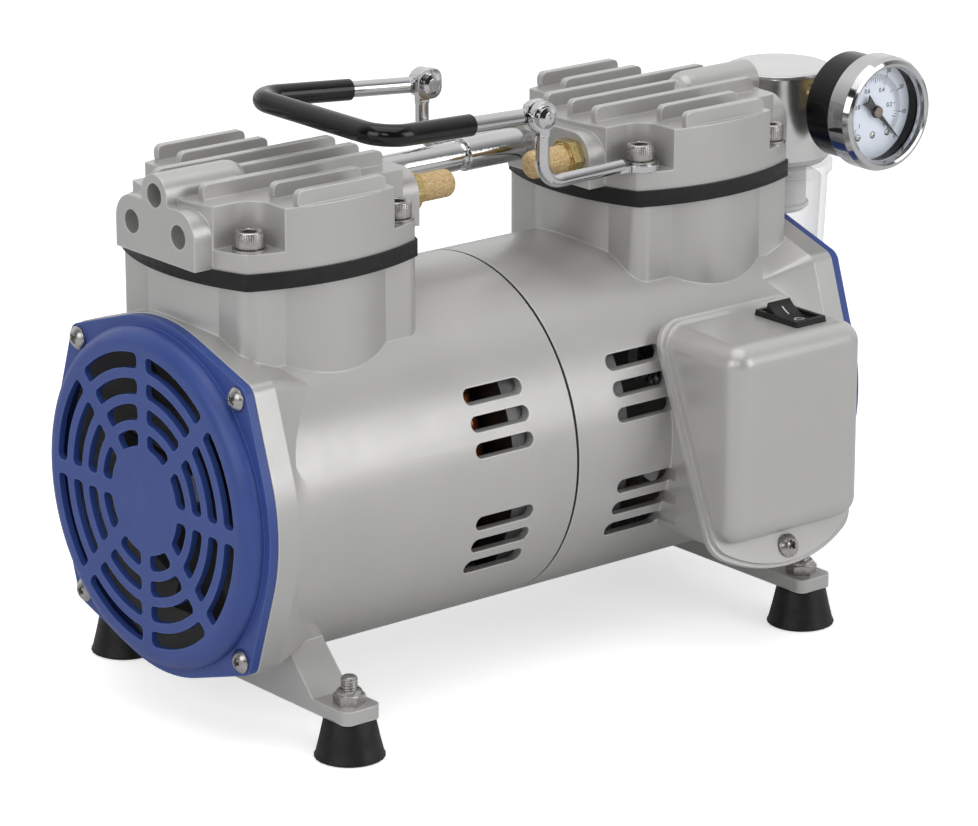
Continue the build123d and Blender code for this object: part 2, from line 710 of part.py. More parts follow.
# ---- cylinder heads -------------------------------------------------------------------------------
def head(side):
    """Finned head: ledges for the bolts, a ported face at either end and two chambers underneath."""
    x = side * HEAD_X
    with BuildPart() as casting:
        extrude(swollen(level(PLATE_TOP, x), HEAD_CORNER, HEAD_SWELL, 3), amount=HEAD_H)
        with BuildSketch(level(LEDGE_Z, x)):
            with bolt_spots():
                Circle(POCKET_R)
            for across_x in (-1, 1):
                for across_y in (-1, 1):
                    inner = BOLT_PITCH / 2 - POCKET_R
                    with Locations((across_x * (inner + 20), across_y * (BOLT_PITCH / 2 + 20)),
                                   (across_x * (BOLT_PITCH / 2 + 20), across_y * (inner + 20))):
                        Rectangle(40, 40)
        extrude(amount=HEAD_H, mode=Mode.SUBTRACT)
        for way in (-1, 1):
            with BuildSketch(across(x + way * PORT_X)):
                with Locations(*[(y, PORT_Z - SHAFT_Z) for y in (-PORT_Y, PORT_Y)]):
                    Circle(LOBE_R)
                with Locations((0, (PLATE_TOP + PORT_Z + LOBE_R) / 2 - SHAFT_Z)):
                    Rectangle(2 * PORT_Y, PORT_Z + LOBE_R - PLATE_TOP)
                with Locations((0, (PLATE_TOP + PORT_Z) / 2 - SHAFT_Z)):
                    Rectangle(2 * (PORT_Y + LOBE_R), PORT_Z - PLATE_TOP)
            extrude(amount=-way * (PORT_X - HEAD_CORNER + 6))
        boss_z = DECK_Z + 0.4
        add(turned(point(x + side * PORT_X, 0, boss_z), (-side, 0, 0),
                   [(0, 0), (0, TOP_BOSS_R)] + [(TOP_BOSS_L + TOP_BOSS_R * (sin(radians(a)) - 1),
                                                 TOP_BOSS_R * cos(radians(a))) for a in range(0, 91, 18)]))
        for k in range(-3, 4):
            length = FIN_LONG if abs(k) < 2 else FIN_SHORT
            with BuildSketch(facing(k * FIN_PITCH - FIN_T / 2, x, DECK_Z - 1)) as fin:
                with Locations((0, (FIN_H + 1) / 2)):
                    Rectangle(length, FIN_H + 1)
                fillet(fin.vertices().group_by(Axis.Z)[-1], 2.5)
            extrude(amount=-FIN_T)
        for way in (-1, 1):
            with BuildSketch(level(PLATE_TOP, x)) as chamber:
                with Locations((0, way * 16.5)):
                    Rectangle(64, 28)
                with bolt_spots():
                    Circle(POCKET_R + 3, mode=Mode.SUBTRACT)
                fillet(chamber.vertices(), 3)
            extrude(amount=HEAD_H - 4, mode=Mode.SUBTRACT)
        for way in (-1, 1):
            drilled = PORT_X - 30 if way != side else 8
            with BuildSketch(across(x + way * PORT_X)):
                with Locations(*[(y, PORT_Z - SHAFT_Z) for y in (-PORT_Y, PORT_Y)]):
                    Circle(PORT_R)
            extrude(amount=-way * drilled, mode=Mode.SUBTRACT)
        with BuildSketch(across(x + side * PORT_X)):
            with Locations((0, boss_z - SHAFT_Z)):
                Circle(PORT_R)
        extrude(amount=-side * PORT_DEPTH, mode=Mode.SUBTRACT)
        if side > 0:
            with BuildSketch(across(x + side * PORT_X)):
                with Locations((PORT_Y, PORT_Z - SHAFT_Z)):
                    Circle(PORT_R)
            extrude(amount=-side * (PORT_X - 30), mode=Mode.SUBTRACT)
        with BuildSketch(level(PLATE_TOP, x)):
            with bolt_spots():
                Circle(BOLT_R)
        extrude(amount=LEDGE_H, mode=Mode.SUBTRACT)
    return casting.part


for name, side in SIDES.items():
    casting = head(side)
    casting.label = name + "_head"
    export_step(casting, "parts/" + casting.label + ".step")


def post_bolt(side, x_way):
    """True for the two bolts that also hold a handle post."""
    return side > 0 and x_way < 0


with BuildPart() as head_bolts:
    for side in SIDES.values():
        for x_way in (-1, 1):
            for y_way in (-1, 1):
                lift = WASHER_T + (EYE_T - 0.5 if post_bolt(side, x_way) else 0)
                seat = point(side * HEAD_X + x_way * BOLT_PITCH / 2, y_way * BOLT_PITCH / 2, LEDGE_Z + lift)
                length = LEDGE_Z + lift - BARREL_TOP + 16
                add(turned(seat, (0, 0, 1), [(-length, 0), (-length, BOLT_R), (0, BOLT_R), (0, BOLT_HEAD_R),
                                             (BOLT_HEAD_H - 0.6, BOLT_HEAD_R), (BOLT_HEAD_H, BOLT_HEAD_R - 0.6),
                                             (BOLT_HEAD_H, 0)]))
                with BuildSketch(Plane(origin=seat + Vector(0, 0, BOLT_HEAD_H))):
                    RegularPolygon(2.9, 6)
                extrude(amount=-3.2, mode=Mode.SUBTRACT)
head_bolts.part.label = "head_bolts"
export_step(head_bolts.part, "parts/head_bolts.step")

with BuildPart() as head_washers:
    for side in SIDES.values():
        for x_way in (-1, 1):
            lift = EYE_T - 0.5 if post_bolt(side, x_way) else 0
            with BuildSketch(level(LEDGE_Z + lift, side * HEAD_X + x_way * BOLT_PITCH / 2)):
                with GridLocations(1, BOLT_PITCH, 1, 2):
                    Circle(BOLT_HEAD_R + 0.9)
                    Circle(BOLT_R, mode=Mode.SUBTRACT)
            extrude(amount=WASHER_T)
head_washers.part.label = "head_washers"
export_step(head_washers.part, "parts/head_washers.step")

with BuildPart() as valve_reeds:
    for side in SIDES.values():
        for way in (-1, 1):
            face = RIM_TOP - 0.4 if way < 0 else PLATE_TOP
            with BuildSketch(level(face, side * HEAD_X, way * PORT_Y)):
                SlotOverall(24, 8)
            extrude(amount=0.4)
valve_reeds.part.label = "valve_reeds"
export_step(valve_reeds.part, "parts/valve_reeds.step")


# ---- silencers and the tube between the heads -----------------------------------------------------
INNER_FACE = HEAD_X - PORT_X
HEX_R = 7.5
HEX_L = 5.0
BODY_L = 16.5
SILENCER_R = 5.2

with BuildPart() as silencer_nuts:
    for side in SIDES.values():
        with BuildSketch(across(side * INNER_FACE)):
            with Locations((-PORT_Y, PORT_Z - SHAFT_Z)):
                RegularPolygon(HEX_R, 6)
        extrude(amount=-side * HEX_L)
        with BuildSketch(across(side * INNER_FACE)):
            with Locations((-PORT_Y, PORT_Z - SHAFT_Z)):
                Circle(PORT_R)
        extrude(amount=side * 8)
        with BuildSketch(across(side * (INNER_FACE - HEX_L))):
            with Locations((-PORT_Y, PORT_Z - SHAFT_Z)):
                Circle(SILENCER_R - 2)
        extrude(amount=side * 20, mode=Mode.SUBTRACT)
silencer_nuts.part.label = "silencer_nuts"
export_step(silencer_nuts.part, "parts/silencer_nuts.step")

with BuildPart() as silencer_bodies:
    for side in SIDES.values():
        add(turned(point(side * (INNER_FACE - HEX_L), -PORT_Y, PORT_Z), (-side, 0, 0),
                   [(0, SILENCER_R - 2), (0, SILENCER_R), (BODY_L - 2.5, SILENCER_R),
                    (BODY_L - 0.8, SILENCER_R - 0.9), (BODY_L, SILENCER_R - 2.6), (BODY_L, 0), (BODY_L - 2, 0),
                    (BODY_L - 2, SILENCER_R - 2)]))
silencer_bodies.part.label = "silencer_bodies"
export_step(silencer_bodies.part, "parts/silencer_bodies.step")

TUBE_JOINT_X = 9.0
TUBE_FRONT_R = 5.5
TUBE_REAR_R = 6.1
TUBE_BORE_R = 3.2

with BuildPart() as crossover_front:
    reach = TUBE_JOINT_X + INNER_FACE
    add(turned(point(-INNER_FACE, PORT_Y, PORT_Z), (1, 0, 0),
               [(-8, TUBE_BORE_R), (-8, PORT_R), (0, PORT_R), (0, TUBE_FRONT_R), (reach - 3, TUBE_FRONT_R),
                (reach - 2.4, TUBE_FRONT_R - 0.9), (reach - 1.2, TUBE_FRONT_R - 0.9),
                (reach, TUBE_FRONT_R - 0.4), (reach, PORT_R), (reach + 10, PORT_R), (reach + 10, TUBE_BORE_R)]))
crossover_front.part.label = "crossover_front"
export_step(crossover_front.part, "parts/crossover_front.step")

with BuildPart() as crossover_rear:
    reach = INNER_FACE - TUBE_JOINT_X
    add(turned(point(TUBE_JOINT_X, PORT_Y, PORT_Z), (1, 0, 0),
               [(0, PORT_R), (0, TUBE_REAR_R - 0.7), (0.7, TUBE_REAR_R), (reach - 4, TUBE_REAR_R),
                (reach - 2.6, TUBE_REAR_R - 1.3), (reach, TUBE_REAR_R - 1.3), (reach, PORT_R),
                (reach + 8, PORT_R), (reach + 8, TUBE_BORE_R), (10, TUBE_BORE_R), (10, PORT_R)]))
crossover_rear.part.label = "crossover_rear"
export_step(crossover_rear.part, "parts/crossover_rear.step")


# ---- fans -----------------------------------------------------------------------------------------
def fan(side):
    """Axial fan with twisted blades on a hub that is pressed on the shaft."""
    with BuildPart() as wheel:
        with BuildSketch(across(side * (FAN_X - 7))):
            Circle(SHAFT_R + 9)
        extrude(amount=side * 14)
        for k in range(FAN_BLADES):
            turn = k * 360 / FAN_BLADES
            for radius, lean in ((13, 50), (FAN_R, 68)):
                out = Vector(0, *polar(radius, turn))
                along = Vector(0, -sin(radians(turn)), cos(radians(turn)))
                with BuildSketch(Plane(origin=point(side * FAN_X, 0, SHAFT_Z) + out,
                                       x_dir=along, z_dir=Vector(0, *polar(1, turn)))):
                    Rectangle(22 if radius > 20 else 13, 1.6, rotation=90 - side * lean)
            loft()
        with BuildSketch(across(side * (FAN_X - 7))):
            Circle(SHAFT_R)
        extrude(amount=side * 14, mode=Mode.SUBTRACT)
    return wheel.part


for name, side in SIDES.items():
    wheel = fan(side)
    wheel.label = name + "_fan"
    export_step(wheel, "parts/" + wheel.label + ".step")


# ---- feet -----------------------------------------------------------------------------------------
def foot_spots():
    return [point(x * FOOT_X, y * FOOT_Y, 0) for x in (-1, 1) for y in (-1, 1)]


with BuildPart() as rubber_feet:
    for spot in foot_spots():
        add(turned(spot, (0, 0, 1), [(0, 4), (0, FOOT_R - 0.8), (1.0, FOOT_R), (PAD_Z, FOOT_TOP_R),
                                     (PAD_Z, STUD_R), (5, STUD_R), (5, 4)]))
rubber_feet.part.label = "rubber_feet"
export_step(rubber_feet.part, "parts/rubber_feet.step")

with BuildPart() as foot_studs:
    for spot in foot_spots():
        add(turned(spot, (0, 0, 1), [(3.4, 0), (3.4, 4), (5, 4), (5, STUD_R), (NUT_TOP + 0.3, STUD_R),
                                     (NUT_TOP + 0.3, STUD_END_R), (STUD_TOP - 0.5, STUD_END_R),
                                     (STUD_TOP, STUD_END_R - 0.5), (STUD_TOP, 0)]))
foot_studs.part.label = "foot_studs"
export_step(foot_studs.part, "parts/foot_studs.step")

with BuildPart() as foot_nuts:
    for spot in foot_spots():
        with BuildSketch(Plane(origin=spot + Vector(0, 0, PAD_TOP))):
            RegularPolygon(5.77, 6)
        extrude(amount=NUT_H)
        add(turned(spot + Vector(0, 0, PAD_TOP + NUT_H), (0, 0, 1),
                   [(0, 0), (0, 4.8), (NUT_COLLAR * 0.6, 4.5), (NUT_COLLAR, 3.9), (NUT_COLLAR, 0)]))
        with BuildSketch(Plane(origin=spot + Vector(0, 0, PAD_TOP))):
            Circle(STUD_R)
        extrude(amount=NUT_H + NUT_COLLAR, mode=Mode.SUBTRACT)
foot_nuts.part.label = "foot_nuts"
export_step(foot_nuts.part, "parts/foot_nuts.step")


# ---- terminal box ---------------------------------------------------------------------------------
def box_joint_y(z):
    """Where the leaning joint stands at height z."""
    return -BOX_JOINT_Y + (z - BOX_JOINT_Z) * tan(radians(BOX_TILT))


def box_body(inset, rounding):
    """Cover between its leaning open back and its upright front, drawn in by an inset."""
    half = BOX_W / 2 - inset
    low, high, front = BOX_BOTTOM + inset, BOX_TOP - inset, -BOX_Y + inset
    with BuildPart() as block:
        with BuildSketch(across(BOX_X - half)):
            Polygon((box_joint_y(low) + 2, low - SHAFT_Z), (box_joint_y(high) + 2, high - SHAFT_Z),
                    (front, high - SHAFT_Z), (front, low - SHAFT_Z), align=None)
        extrude(amount=2 * half)
        face = block.faces().sort_by(Axis.Y)[0]
        fillet(face.edges() + block.edges().filter_by(Axis.Y), rounding)
    return block.part


ROCKER_Z = BOX_TOP + 0.8
FRAME_WALL = 1.0
FRAME_L = SWITCH_L - 2.6
FRAME_W = ROCKER_W + 2 * GAP + 2 * FRAME_WALL
TRUNNION_R = 1.2

with BuildPart() as terminal_cover:
    add(box_body(0, BOX_ROUND))
    extrude(lip_outline(box_joint(), 0), amount=LIP_T)
    extrude(lip_outline(box_joint(LIP_T), LIP_STEP), amount=LIP_STEP)
    extrude(lip_outline(box_joint(), -5), amount=-60, mode=Mode.SUBTRACT)
    add(box_body(BOX_WALL, BOX_ROUND - BOX_WALL), mode=Mode.SUBTRACT)
    with BuildSketch(level(BOX_TOP - BOX_WALL - 1, SWITCH_X, -SWITCH_Y)):
        Rectangle(FRAME_W + 0.2, FRAME_L + 0.2)
    extrude(amount=BOX_WALL + 2, mode=Mode.SUBTRACT)
    with BuildSketch(box_joint()):
        with Locations((0, -LIP_LOW + 7)):
            Circle(2.2)
    extrude(amount=LIP_T + LIP_STEP, mode=Mode.SUBTRACT)
terminal_cover.part.label = "terminal_cover"
export_step(terminal_cover.part, "parts/terminal_cover.step")

with BuildPart() as cover_screw:
    lip = box_joint(LIP_T + LIP_STEP)
    seat = lip.from_local_coords(Vector(0, -LIP_LOW + 7, 0))
    add(turned(seat, lip.z_dir, [(-LIP_T - 10, 0), (-LIP_T - 10, 2.0), (0, 2.0), (0, 4.4), (1.4, 4.2),
                                 (2.8, 2.6), (3.2, 1.3), (1.6, 0.9), (1.6, 0)]))
cover_screw.part.label = "cover_screw"
export_step(cover_screw.part, "parts/cover_screw.step")

with BuildPart() as capacitor:
    add(turned(point(BOX_X - 11, -BOX_Y + BOX_WALL + CAPACITOR_R, BOX_BOTTOM + 10), (0, 0, 1),
               [(0, 0), (0, CAPACITOR_R - 1), (1, CAPACITOR_R), (CAPACITOR_L - 3, CAPACITOR_R),
                (CAPACITOR_L - 2.4, CAPACITOR_R - 0.8), (CAPACITOR_L - 1.2, CAPACITOR_R - 0.8),
                (CAPACITOR_L - 0.6, CAPACITOR_R), (CAPACITOR_L, CAPACITOR_R - 1), (CAPACITOR_L, 0)]))
capacitor.part.label = "capacitor"
export_step(capacitor.part, "parts/capacitor.step")

with BuildPart() as cord_gland:
    add(turned(point(BOX_X + BOX_W / 2, -GLAND_Y, GLAND_Z), (1, 0, 0),
               [(-WALL - 3, CORD_R), (-WALL - 3, 5.8), (-WALL, 5.8), (-WALL, GLAND_R), (0, GLAND_R), (0, 7.0),
                (4, 7.0), (6, 6.2), (12, 5.4), (12, CORD_R)]))
cord_gland.part.label = "cord_gland"
export_step(cord_gland.part, "parts/cord_gland.step")


# ---- rocker switch --------------------------------------------------------------------------------
with BuildPart() as switch_frame:
    with BuildSketch(level(BOX_TOP, SWITCH_X, -SWITCH_Y)) as bezel:
        Rectangle(SWITCH_W, SWITCH_L)
        fillet(bezel.vertices(), 1)
    extrude(amount=SWITCH_T, taper=12)
    with BuildSketch(level(BOX_TOP, SWITCH_X, -SWITCH_Y)):
        Rectangle(FRAME_W, FRAME_L)
    extrude(amount=-15)
    with BuildSketch(level(BOX_TOP - 13, SWITCH_X, -SWITCH_Y)):
        Rectangle(ROCKER_W + 2 * GAP, FRAME_L - 2 * FRAME_WALL + 0.4)
    extrude(amount=30, mode=Mode.SUBTRACT)
    with BuildSketch(across(SWITCH_X - SWITCH_W / 2)):
        with Locations((-SWITCH_Y, ROCKER_Z - SHAFT_Z - 4)):
            Circle(TRUNNION_R + 0.05)
    extrude(amount=SWITCH_W, mode=Mode.SUBTRACT)
    for k in (-1, 0, 1):
        with BuildSketch(level(BOX_TOP - 15, SWITCH_X, -SWITCH_Y + k * 6)):
            Rectangle(4.8, 0.8)
        extrude(amount=-7)
switch_frame.part.label = "switch_frame"
export_step(switch_frame.part, "parts/switch_frame.step")

with BuildPart() as switch_rocker:
    lean = radians(ROCK)
    hinge = point(SWITCH_X - ROCKER_W / 2, -SWITCH_Y, ROCKER_Z - 4)
    tilted = Plane(origin=hinge, x_dir=(0, cos(lean), sin(lean)), z_dir=(1, 0, 0))
    with BuildSketch(tilted):
        with BuildLine():
            Polyline((-6, -4), (6, -4), (ROCKER_L / 2, 4), (ROCKER_L / 2, 7))
            ThreePointArc((ROCKER_L / 2, 7), (0, 4.2), (-ROCKER_L / 2, 7))
            Polyline((-ROCKER_L / 2, 7), (-ROCKER_L / 2, 4), (-6, -4))
        make_face()
    extrude(amount=ROCKER_W)
    with BuildSketch(Plane(origin=hinge - Vector(FRAME_WALL, 0, 0), z_dir=(1, 0, 0))):
        Circle(TRUNNION_R)
    extrude(amount=ROCKER_W + 2 * FRAME_WALL)
switch_rocker.part.label = "switch_rocker"
export_step(switch_rocker.part, "parts/switch_rocker.step")


# ---- handle ---------------------------------------------------------------------------------------
ARM_Y = PIVOT_Y - EYE_T / 2 - 0.1
POST_Y = PIVOT_Y + EYE_T / 2 + 0.1
POST_BOLT_X = HEAD_X - BOLT_PITCH / 2


def on_arm(x, way):
    """A point on an arm's straight line between its eye and the corner of the grip."""
    share = (PIVOT_X - x) / (PIVOT_X - GRIP_X)
    return point(x, way * (ARM_Y + share * (GRIP_Y - ARM_Y)), PIVOT_Z + share * (GRIP_Z - PIVOT_Z))


def rod_along(path, start, toward, radius):
    """Round bar swept along a path."""
    with BuildPart() as bar:
        with BuildSketch(Plane(origin=start, z_dir=toward)):
            Circle(radius)
        sweep(path=path)
    return bar.part


def grip_path(x):
    corners = [on_arm(x, -1), on_arm(GRIP_X, -1), on_arm(GRIP_X, 1), on_arm(x, 1)]
    with BuildLine() as line:
        FilletPolyline(*corners, radius=10)
    return line.wires()[0], corners[0], corners[1] - corners[0]


with BuildPart() as handle_bar:
    add(rod_along(*grip_path(PIVOT_X - NECK), BAR_R))
    for way in (-1, 1):
        with BuildSketch(facing(way * ARM_Y, PIVOT_X, PIVOT_Z)):
            RectangleRounded(2 * EYE_R, 2 * EYE_R, EYE_R * 0.7)
        extrude(amount=EYE_T / 2, both=True)
        start, along = on_arm(PIVOT_X - NECK, way), on_arm(GRIP_X, way) - on_arm(PIVOT_X, way)
        with BuildSketch(Plane(origin=start, x_dir=(0, 0, 1), z_dir=along)):
            Circle(BAR_R)
        with BuildSketch(Plane(origin=on_arm(PIVOT_X - EYE_R + 0.2, way), x_dir=(0, 0, 1), z_dir=along)):
            RectangleRounded(2 * EYE_R - 5, EYE_T - 1.2, 0.8)
        loft()
    with BuildSketch(facing(0, PIVOT_X, PIVOT_Z)):
        Circle(PIVOT_R + FIT)
    extrude(amount=2 * PIVOT_Y, both=True, mode=Mode.SUBTRACT)
handle_bar.part.label = "handle_bar"
export_step(handle_bar.part, "parts/handle_bar.step")

with BuildPart() as handle_sleeve:
    add(rod_along(*grip_path(SLEEVE_X), SLEEVE_R))
    add(rod_along(*grip_path(SLEEVE_X + 1), BAR_R), mode=Mode.SUBTRACT)
handle_sleeve.part.label = "handle_sleeve"
export_step(handle_sleeve.part, "parts/handle_sleeve.step")

with BuildPart() as handle_posts:
    for way in (-1, 1):
        rail_z = LEDGE_Z + POST_R
        corners = [point(POST_BOLT_X - NECK, way * BOLT_PITCH / 2, rail_z),
                   point(PIVOT_X, way * POST_Y, rail_z), point(PIVOT_X, way * POST_Y, PIVOT_Z - NECK + 2)]
        with BuildLine() as line:
            FilletPolyline(*corners, radius=9)
        add(rod_along(line.wires()[0], corners[0], corners[1] - corners[0], POST_R))
        with BuildSketch(facing(way * POST_Y, PIVOT_X, PIVOT_Z)):
            Circle(EYE_R)
            with Locations((0, -NECK / 2 + 0.5)):
                Rectangle(2 * POST_R - 0.4, NECK - 1)
        extrude(amount=EYE_T / 2, both=True)
        with BuildSketch(level(LEDGE_Z, POST_BOLT_X, way * BOLT_PITCH / 2)):
            Circle(BOLT_HEAD_R + 2)
            with Locations((-NECK / 2 - 1, 0)):
                Rectangle(NECK + 2, 2 * POST_R - 0.4)
        extrude(amount=EYE_T - 0.5)
        with BuildSketch(level(LEDGE_Z, POST_BOLT_X, way * BOLT_PITCH / 2)):
            Circle(BOLT_R)
        extrude(amount=EYE_T, mode=Mode.SUBTRACT)
    with BuildSketch(facing(0, PIVOT_X, PIVOT_Z)):
        Circle(PIVOT_R)
    extrude(amount=2 * PIVOT_Y, both=True, mode=Mode.SUBTRACT)
handle_posts.part.label = "handle_posts"
export_step(handle_posts.part, "parts/handle_posts.step")

with BuildPart() as pivot_screws:
    for way in (-1, 1):
        start = point(PIVOT_X, way * (ARM_Y - EYE_T / 2 - 0.2), PIVOT_Z)
        through = 2 * EYE_T + 0.4
        add(turned(start, (0, way, 0), [(-2.2, 0), (-2.2, 2.4), (-1.2, 4), (0, 4), (0, PIVOT_R),
                                        (through, PIVOT_R), (through, 4.2), (through + 1.4, 4.0),
                                        (through + 2.6, 2.2), (through + 2.8, 0)]))
pivot_screws.part.label = "pivot_screws"
export_step(pivot_screws.part, "parts/pivot_screws.step")


# ---- water trap -----------------------------------------------------------------------------------
TRAP = point(TRAP_X, TRAP_Y, 0)
CHAMBER_R = NECK_R + GAP

with BuildPart() as trap_cap:
    add(turned(TRAP + Vector(0, 0, CAP_Z), (0, 0, 1),
               [(0, CHAMBER_R + SEAL_T), (0, CAP_R - 2.4), (1.2, CAP_R - 1.0), (3.0, CAP_R),
                (CAP_H - 1.6, CAP_R), (CAP_H - 0.5, CAP_R - 0.5), (CAP_H, CAP_R - 1.6), (CAP_H, 0), (CAP_H - 3.5, 0),
                (CAP_H - 3.5, CHAMBER_R), (SEAL_T, CHAMBER_R), (SEAL_T, CHAMBER_R + SEAL_T)]))
    with BuildSketch(level(CAP_TOP - 3, TRAP_X, TRAP_Y)):
        Circle(STEM_R)
    extrude(amount=-(CAP_H - 3 + ELEMENT_L - 1.5))
    with BuildSketch(level(PORT_Z, TRAP_X, TRAP_Y)):
        Circle(2.6)
    extrude(amount=-(PORT_Z - CAP_Z + ELEMENT_L), mode=Mode.SUBTRACT)
    for way, depth in ((-1, CAP_R), (1, CAP_R - CHAMBER_R + 1)):
        with BuildSketch(across(TRAP_X + way * CAP_R)):
            with Locations((TRAP_Y, PORT_Z - SHAFT_Z)):
                Circle(PORT_R)
        extrude(amount=-way * depth, mode=Mode.SUBTRACT)
    with BuildSketch(facing(TRAP_Y - CAP_R, TRAP_X, GAUGE_Z)):
        Circle(PORT_R)
    extrude(amount=-(CAP_R - CHAMBER_R + 1), mode=Mode.SUBTRACT)
trap_cap.part.label = "trap_cap"
export_step(trap_cap.part, "parts/trap_cap.step")

with BuildPart() as filter_element:
    add(turned(TRAP + Vector(0, 0, CAP_Z), (0, 0, -1),
               [(-6, STEM_R), (-6, ELEMENT_R - 0.6), (-5.4, ELEMENT_R), (ELEMENT_L - 3, ELEMENT_R),
                (ELEMENT_L - 3, ELEMENT_R + 1), (ELEMENT_L - 1.5, ELEMENT_R + 1), (ELEMENT_L, ELEMENT_R - 1),
                (ELEMENT_L, 0), (ELEMENT_L - 1.5, 0), (ELEMENT_L - 1.5, STEM_R)]))
filter_element.part.label = "filter_element"
export_step(filter_element.part, "parts/filter_element.step")

with BuildPart() as bowl_seal:
    middle = (SEAL_T / 2, CHAMBER_R + SEAL_T / 2)
    ring = [polar(SEAL_T / 2, a) for a in range(0, 360, 45)]
    add(turned(TRAP + Vector(0, 0, CAP_Z), (0, 0, 1), [(middle[0] + u, middle[1] + v) for u, v in ring]))
bowl_seal.part.label = "bowl_seal"
export_step(bowl_seal.part, "parts/bowl_seal.step")

with BuildPart() as trap_bowl:
    top = CAP_Z - GAP
    outside = [(-NECK_L, NECK_R), (0, NECK_R), (0, BOWL_FLANGE_R), (BOWL_FLANGE_T, BOWL_FLANGE_R),
               (BOWL_FLANGE_T + 0.8, BOWL_R), (BOWL_L - 6, BOWL_END_R), (BOWL_L - 2, BOWL_END_R - 2.4),
               (BOWL_L, BOWL_END_R - 7), (BOWL_L, 0)]
    inside = [(BOWL_L - BOWL_WALL, 0), (BOWL_L - BOWL_WALL, BOWL_END_R - 7.5),
              (BOWL_L - 2 - BOWL_WALL * 0.8, BOWL_END_R - 3.9),
              (BOWL_L - 6.4, BOWL_END_R - BOWL_WALL), (BOWL_FLANGE_T + 3, BOWL_R - BOWL_WALL),
              (BOWL_FLANGE_T, NECK_R - BOWL_WALL),
              (-NECK_L, NECK_R - BOWL_WALL)]
    add(turned(TRAP + Vector(0, 0, top), (0, 0, -1), outside + inside))
trap_bowl.part.label = "trap_bowl"
export_step(trap_bowl.part, "parts/trap_bowl.step")

with BuildPart() as trap_fittings:
    face = HEAD_X + PORT_X
    run = TRAP_X - CAP_R - face
    add(turned(point(face, PORT_Y, PORT_Z), (1, 0, 0),
               [(-10, 2.6), (-10, PORT_R), (run + 4, PORT_R), (run + 4, 2.6)]))
    with BuildSketch(across(face)):
        with Locations((PORT_Y, PORT_Z - SHAFT_Z)):
            RegularPolygon(HEX_R, 6)
            Circle(PORT_R, mode=Mode.SUBTRACT)
    extrude(amount=run)
    add(turned(point(TRAP_X + CAP_R, TRAP_Y, PORT_Z), (1, 0, 0),
               [(-4, 2.6), (-4, PORT_R), (6, PORT_R), (6, BARB_R), (BARB_L - 1.5, BARB_R),
                (BARB_L, BARB_R - 0.8), (BARB_L, 2.6)]))
    with BuildSketch(across(TRAP_X + CAP_R)):
        with Locations((TRAP_Y, PORT_Z - SHAFT_Z)):
            RegularPolygon(HEX_R, 6)
            Circle(PORT_R, mode=Mode.SUBTRACT)
    extrude(amount=6)
trap_fittings.part.label = "trap_fittings"
export_step(trap_fittings.part, "parts/trap_fittings.step")


# ---- gauge ----------------------------------------------------------------------------------------
GAUGE_BACK = GAUGE_Y - BEZEL_L - CASE_L
GAUGE = point(TRAP_X, -GAUGE_BACK, GAUGE_Z)
DIAL_DEPTH = CASE_L + 2.0
POINTER_GAP = 1.6
STEM_L = GAUGE_BACK + TRAP_Y - CAP_R

with BuildPart() as gauge_stem:
    add(turned(GAUGE, (0, 1, 0), [(-3, 0), (-3, PORT_R + 1.2), (0, PORT_R + 1.2), (0, PORT_R),
                                  (STEM_L + 4, PORT_R), (STEM_L + 4, 0)]))
    with BuildSketch(facing(-GAUGE_BACK, TRAP_X, GAUGE_Z)):
        Rectangle(13, 13)
        Circle(PORT_R, mode=Mode.SUBTRACT)
    extrude(amount=-8)
gauge_stem.part.label = "gauge_stem"
export_step(gauge_stem.part, "parts/gauge_stem.step")

with BuildPart() as gauge_case:
    add(turned(GAUGE, (0, -1, 0), [(0, PORT_R + 1.2), (0, CASE_R - 1), (1, CASE_R), (CASE_L + 6, CASE_R),
                                   (CASE_L + 6, CASE_R - 1.4), (1.4, CASE_R - 1.4), (1.4, PORT_R + 1.2)]))
gauge_case.part.label = "gauge_case"
export_step(gauge_case.part, "parts/gauge_case.step")

with BuildPart() as gauge_bezel:
    add(turned(GAUGE, (0, -1, 0), [(CASE_L, CASE_R), (CASE_L, BEZEL_R - 0.8), (CASE_L + 0.8, BEZEL_R),
                                   (CASE_L + BEZEL_L - 3, BEZEL_R), (CASE_L + BEZEL_L - 0.6, BEZEL_R - 1.0),
                                   (CASE_L + BEZEL_L, BEZEL_R - 2.4), (CASE_L + BEZEL_L - 0.4, DIAL_R + 0.6),
                                   (CASE_L + BEZEL_L - 2, DIAL_R), (CASE_L + 8, DIAL_R), (CASE_L + 8, CASE_R)]))
gauge_bezel.part.label = "gauge_bezel"
export_step(gauge_bezel.part, "parts/gauge_bezel.step")

with BuildPart() as gauge_lens:
    add(turned(GAUGE, (0, -1, 0), [(CASE_L + 6, 0), (CASE_L + 6, CASE_R), (CASE_L + 8, CASE_R),
                                   (CASE_L + 8, 0)]))
gauge_lens.part.label = "gauge_lens"
export_step(gauge_lens.part, "parts/gauge_lens.step")

with BuildPart() as gauge_dial:
    add(turned(GAUGE, (0, -1, 0), [(DIAL_DEPTH - 1, 1.0 + FIT), (DIAL_DEPTH - 1, CASE_R - 1.4),
                                   (DIAL_DEPTH, CASE_R - 1.4), (DIAL_DEPTH, 1.0 + FIT)]))
gauge_dial.part.label = "gauge_dial"
export_step(gauge_dial.part, "parts/gauge_dial.step")

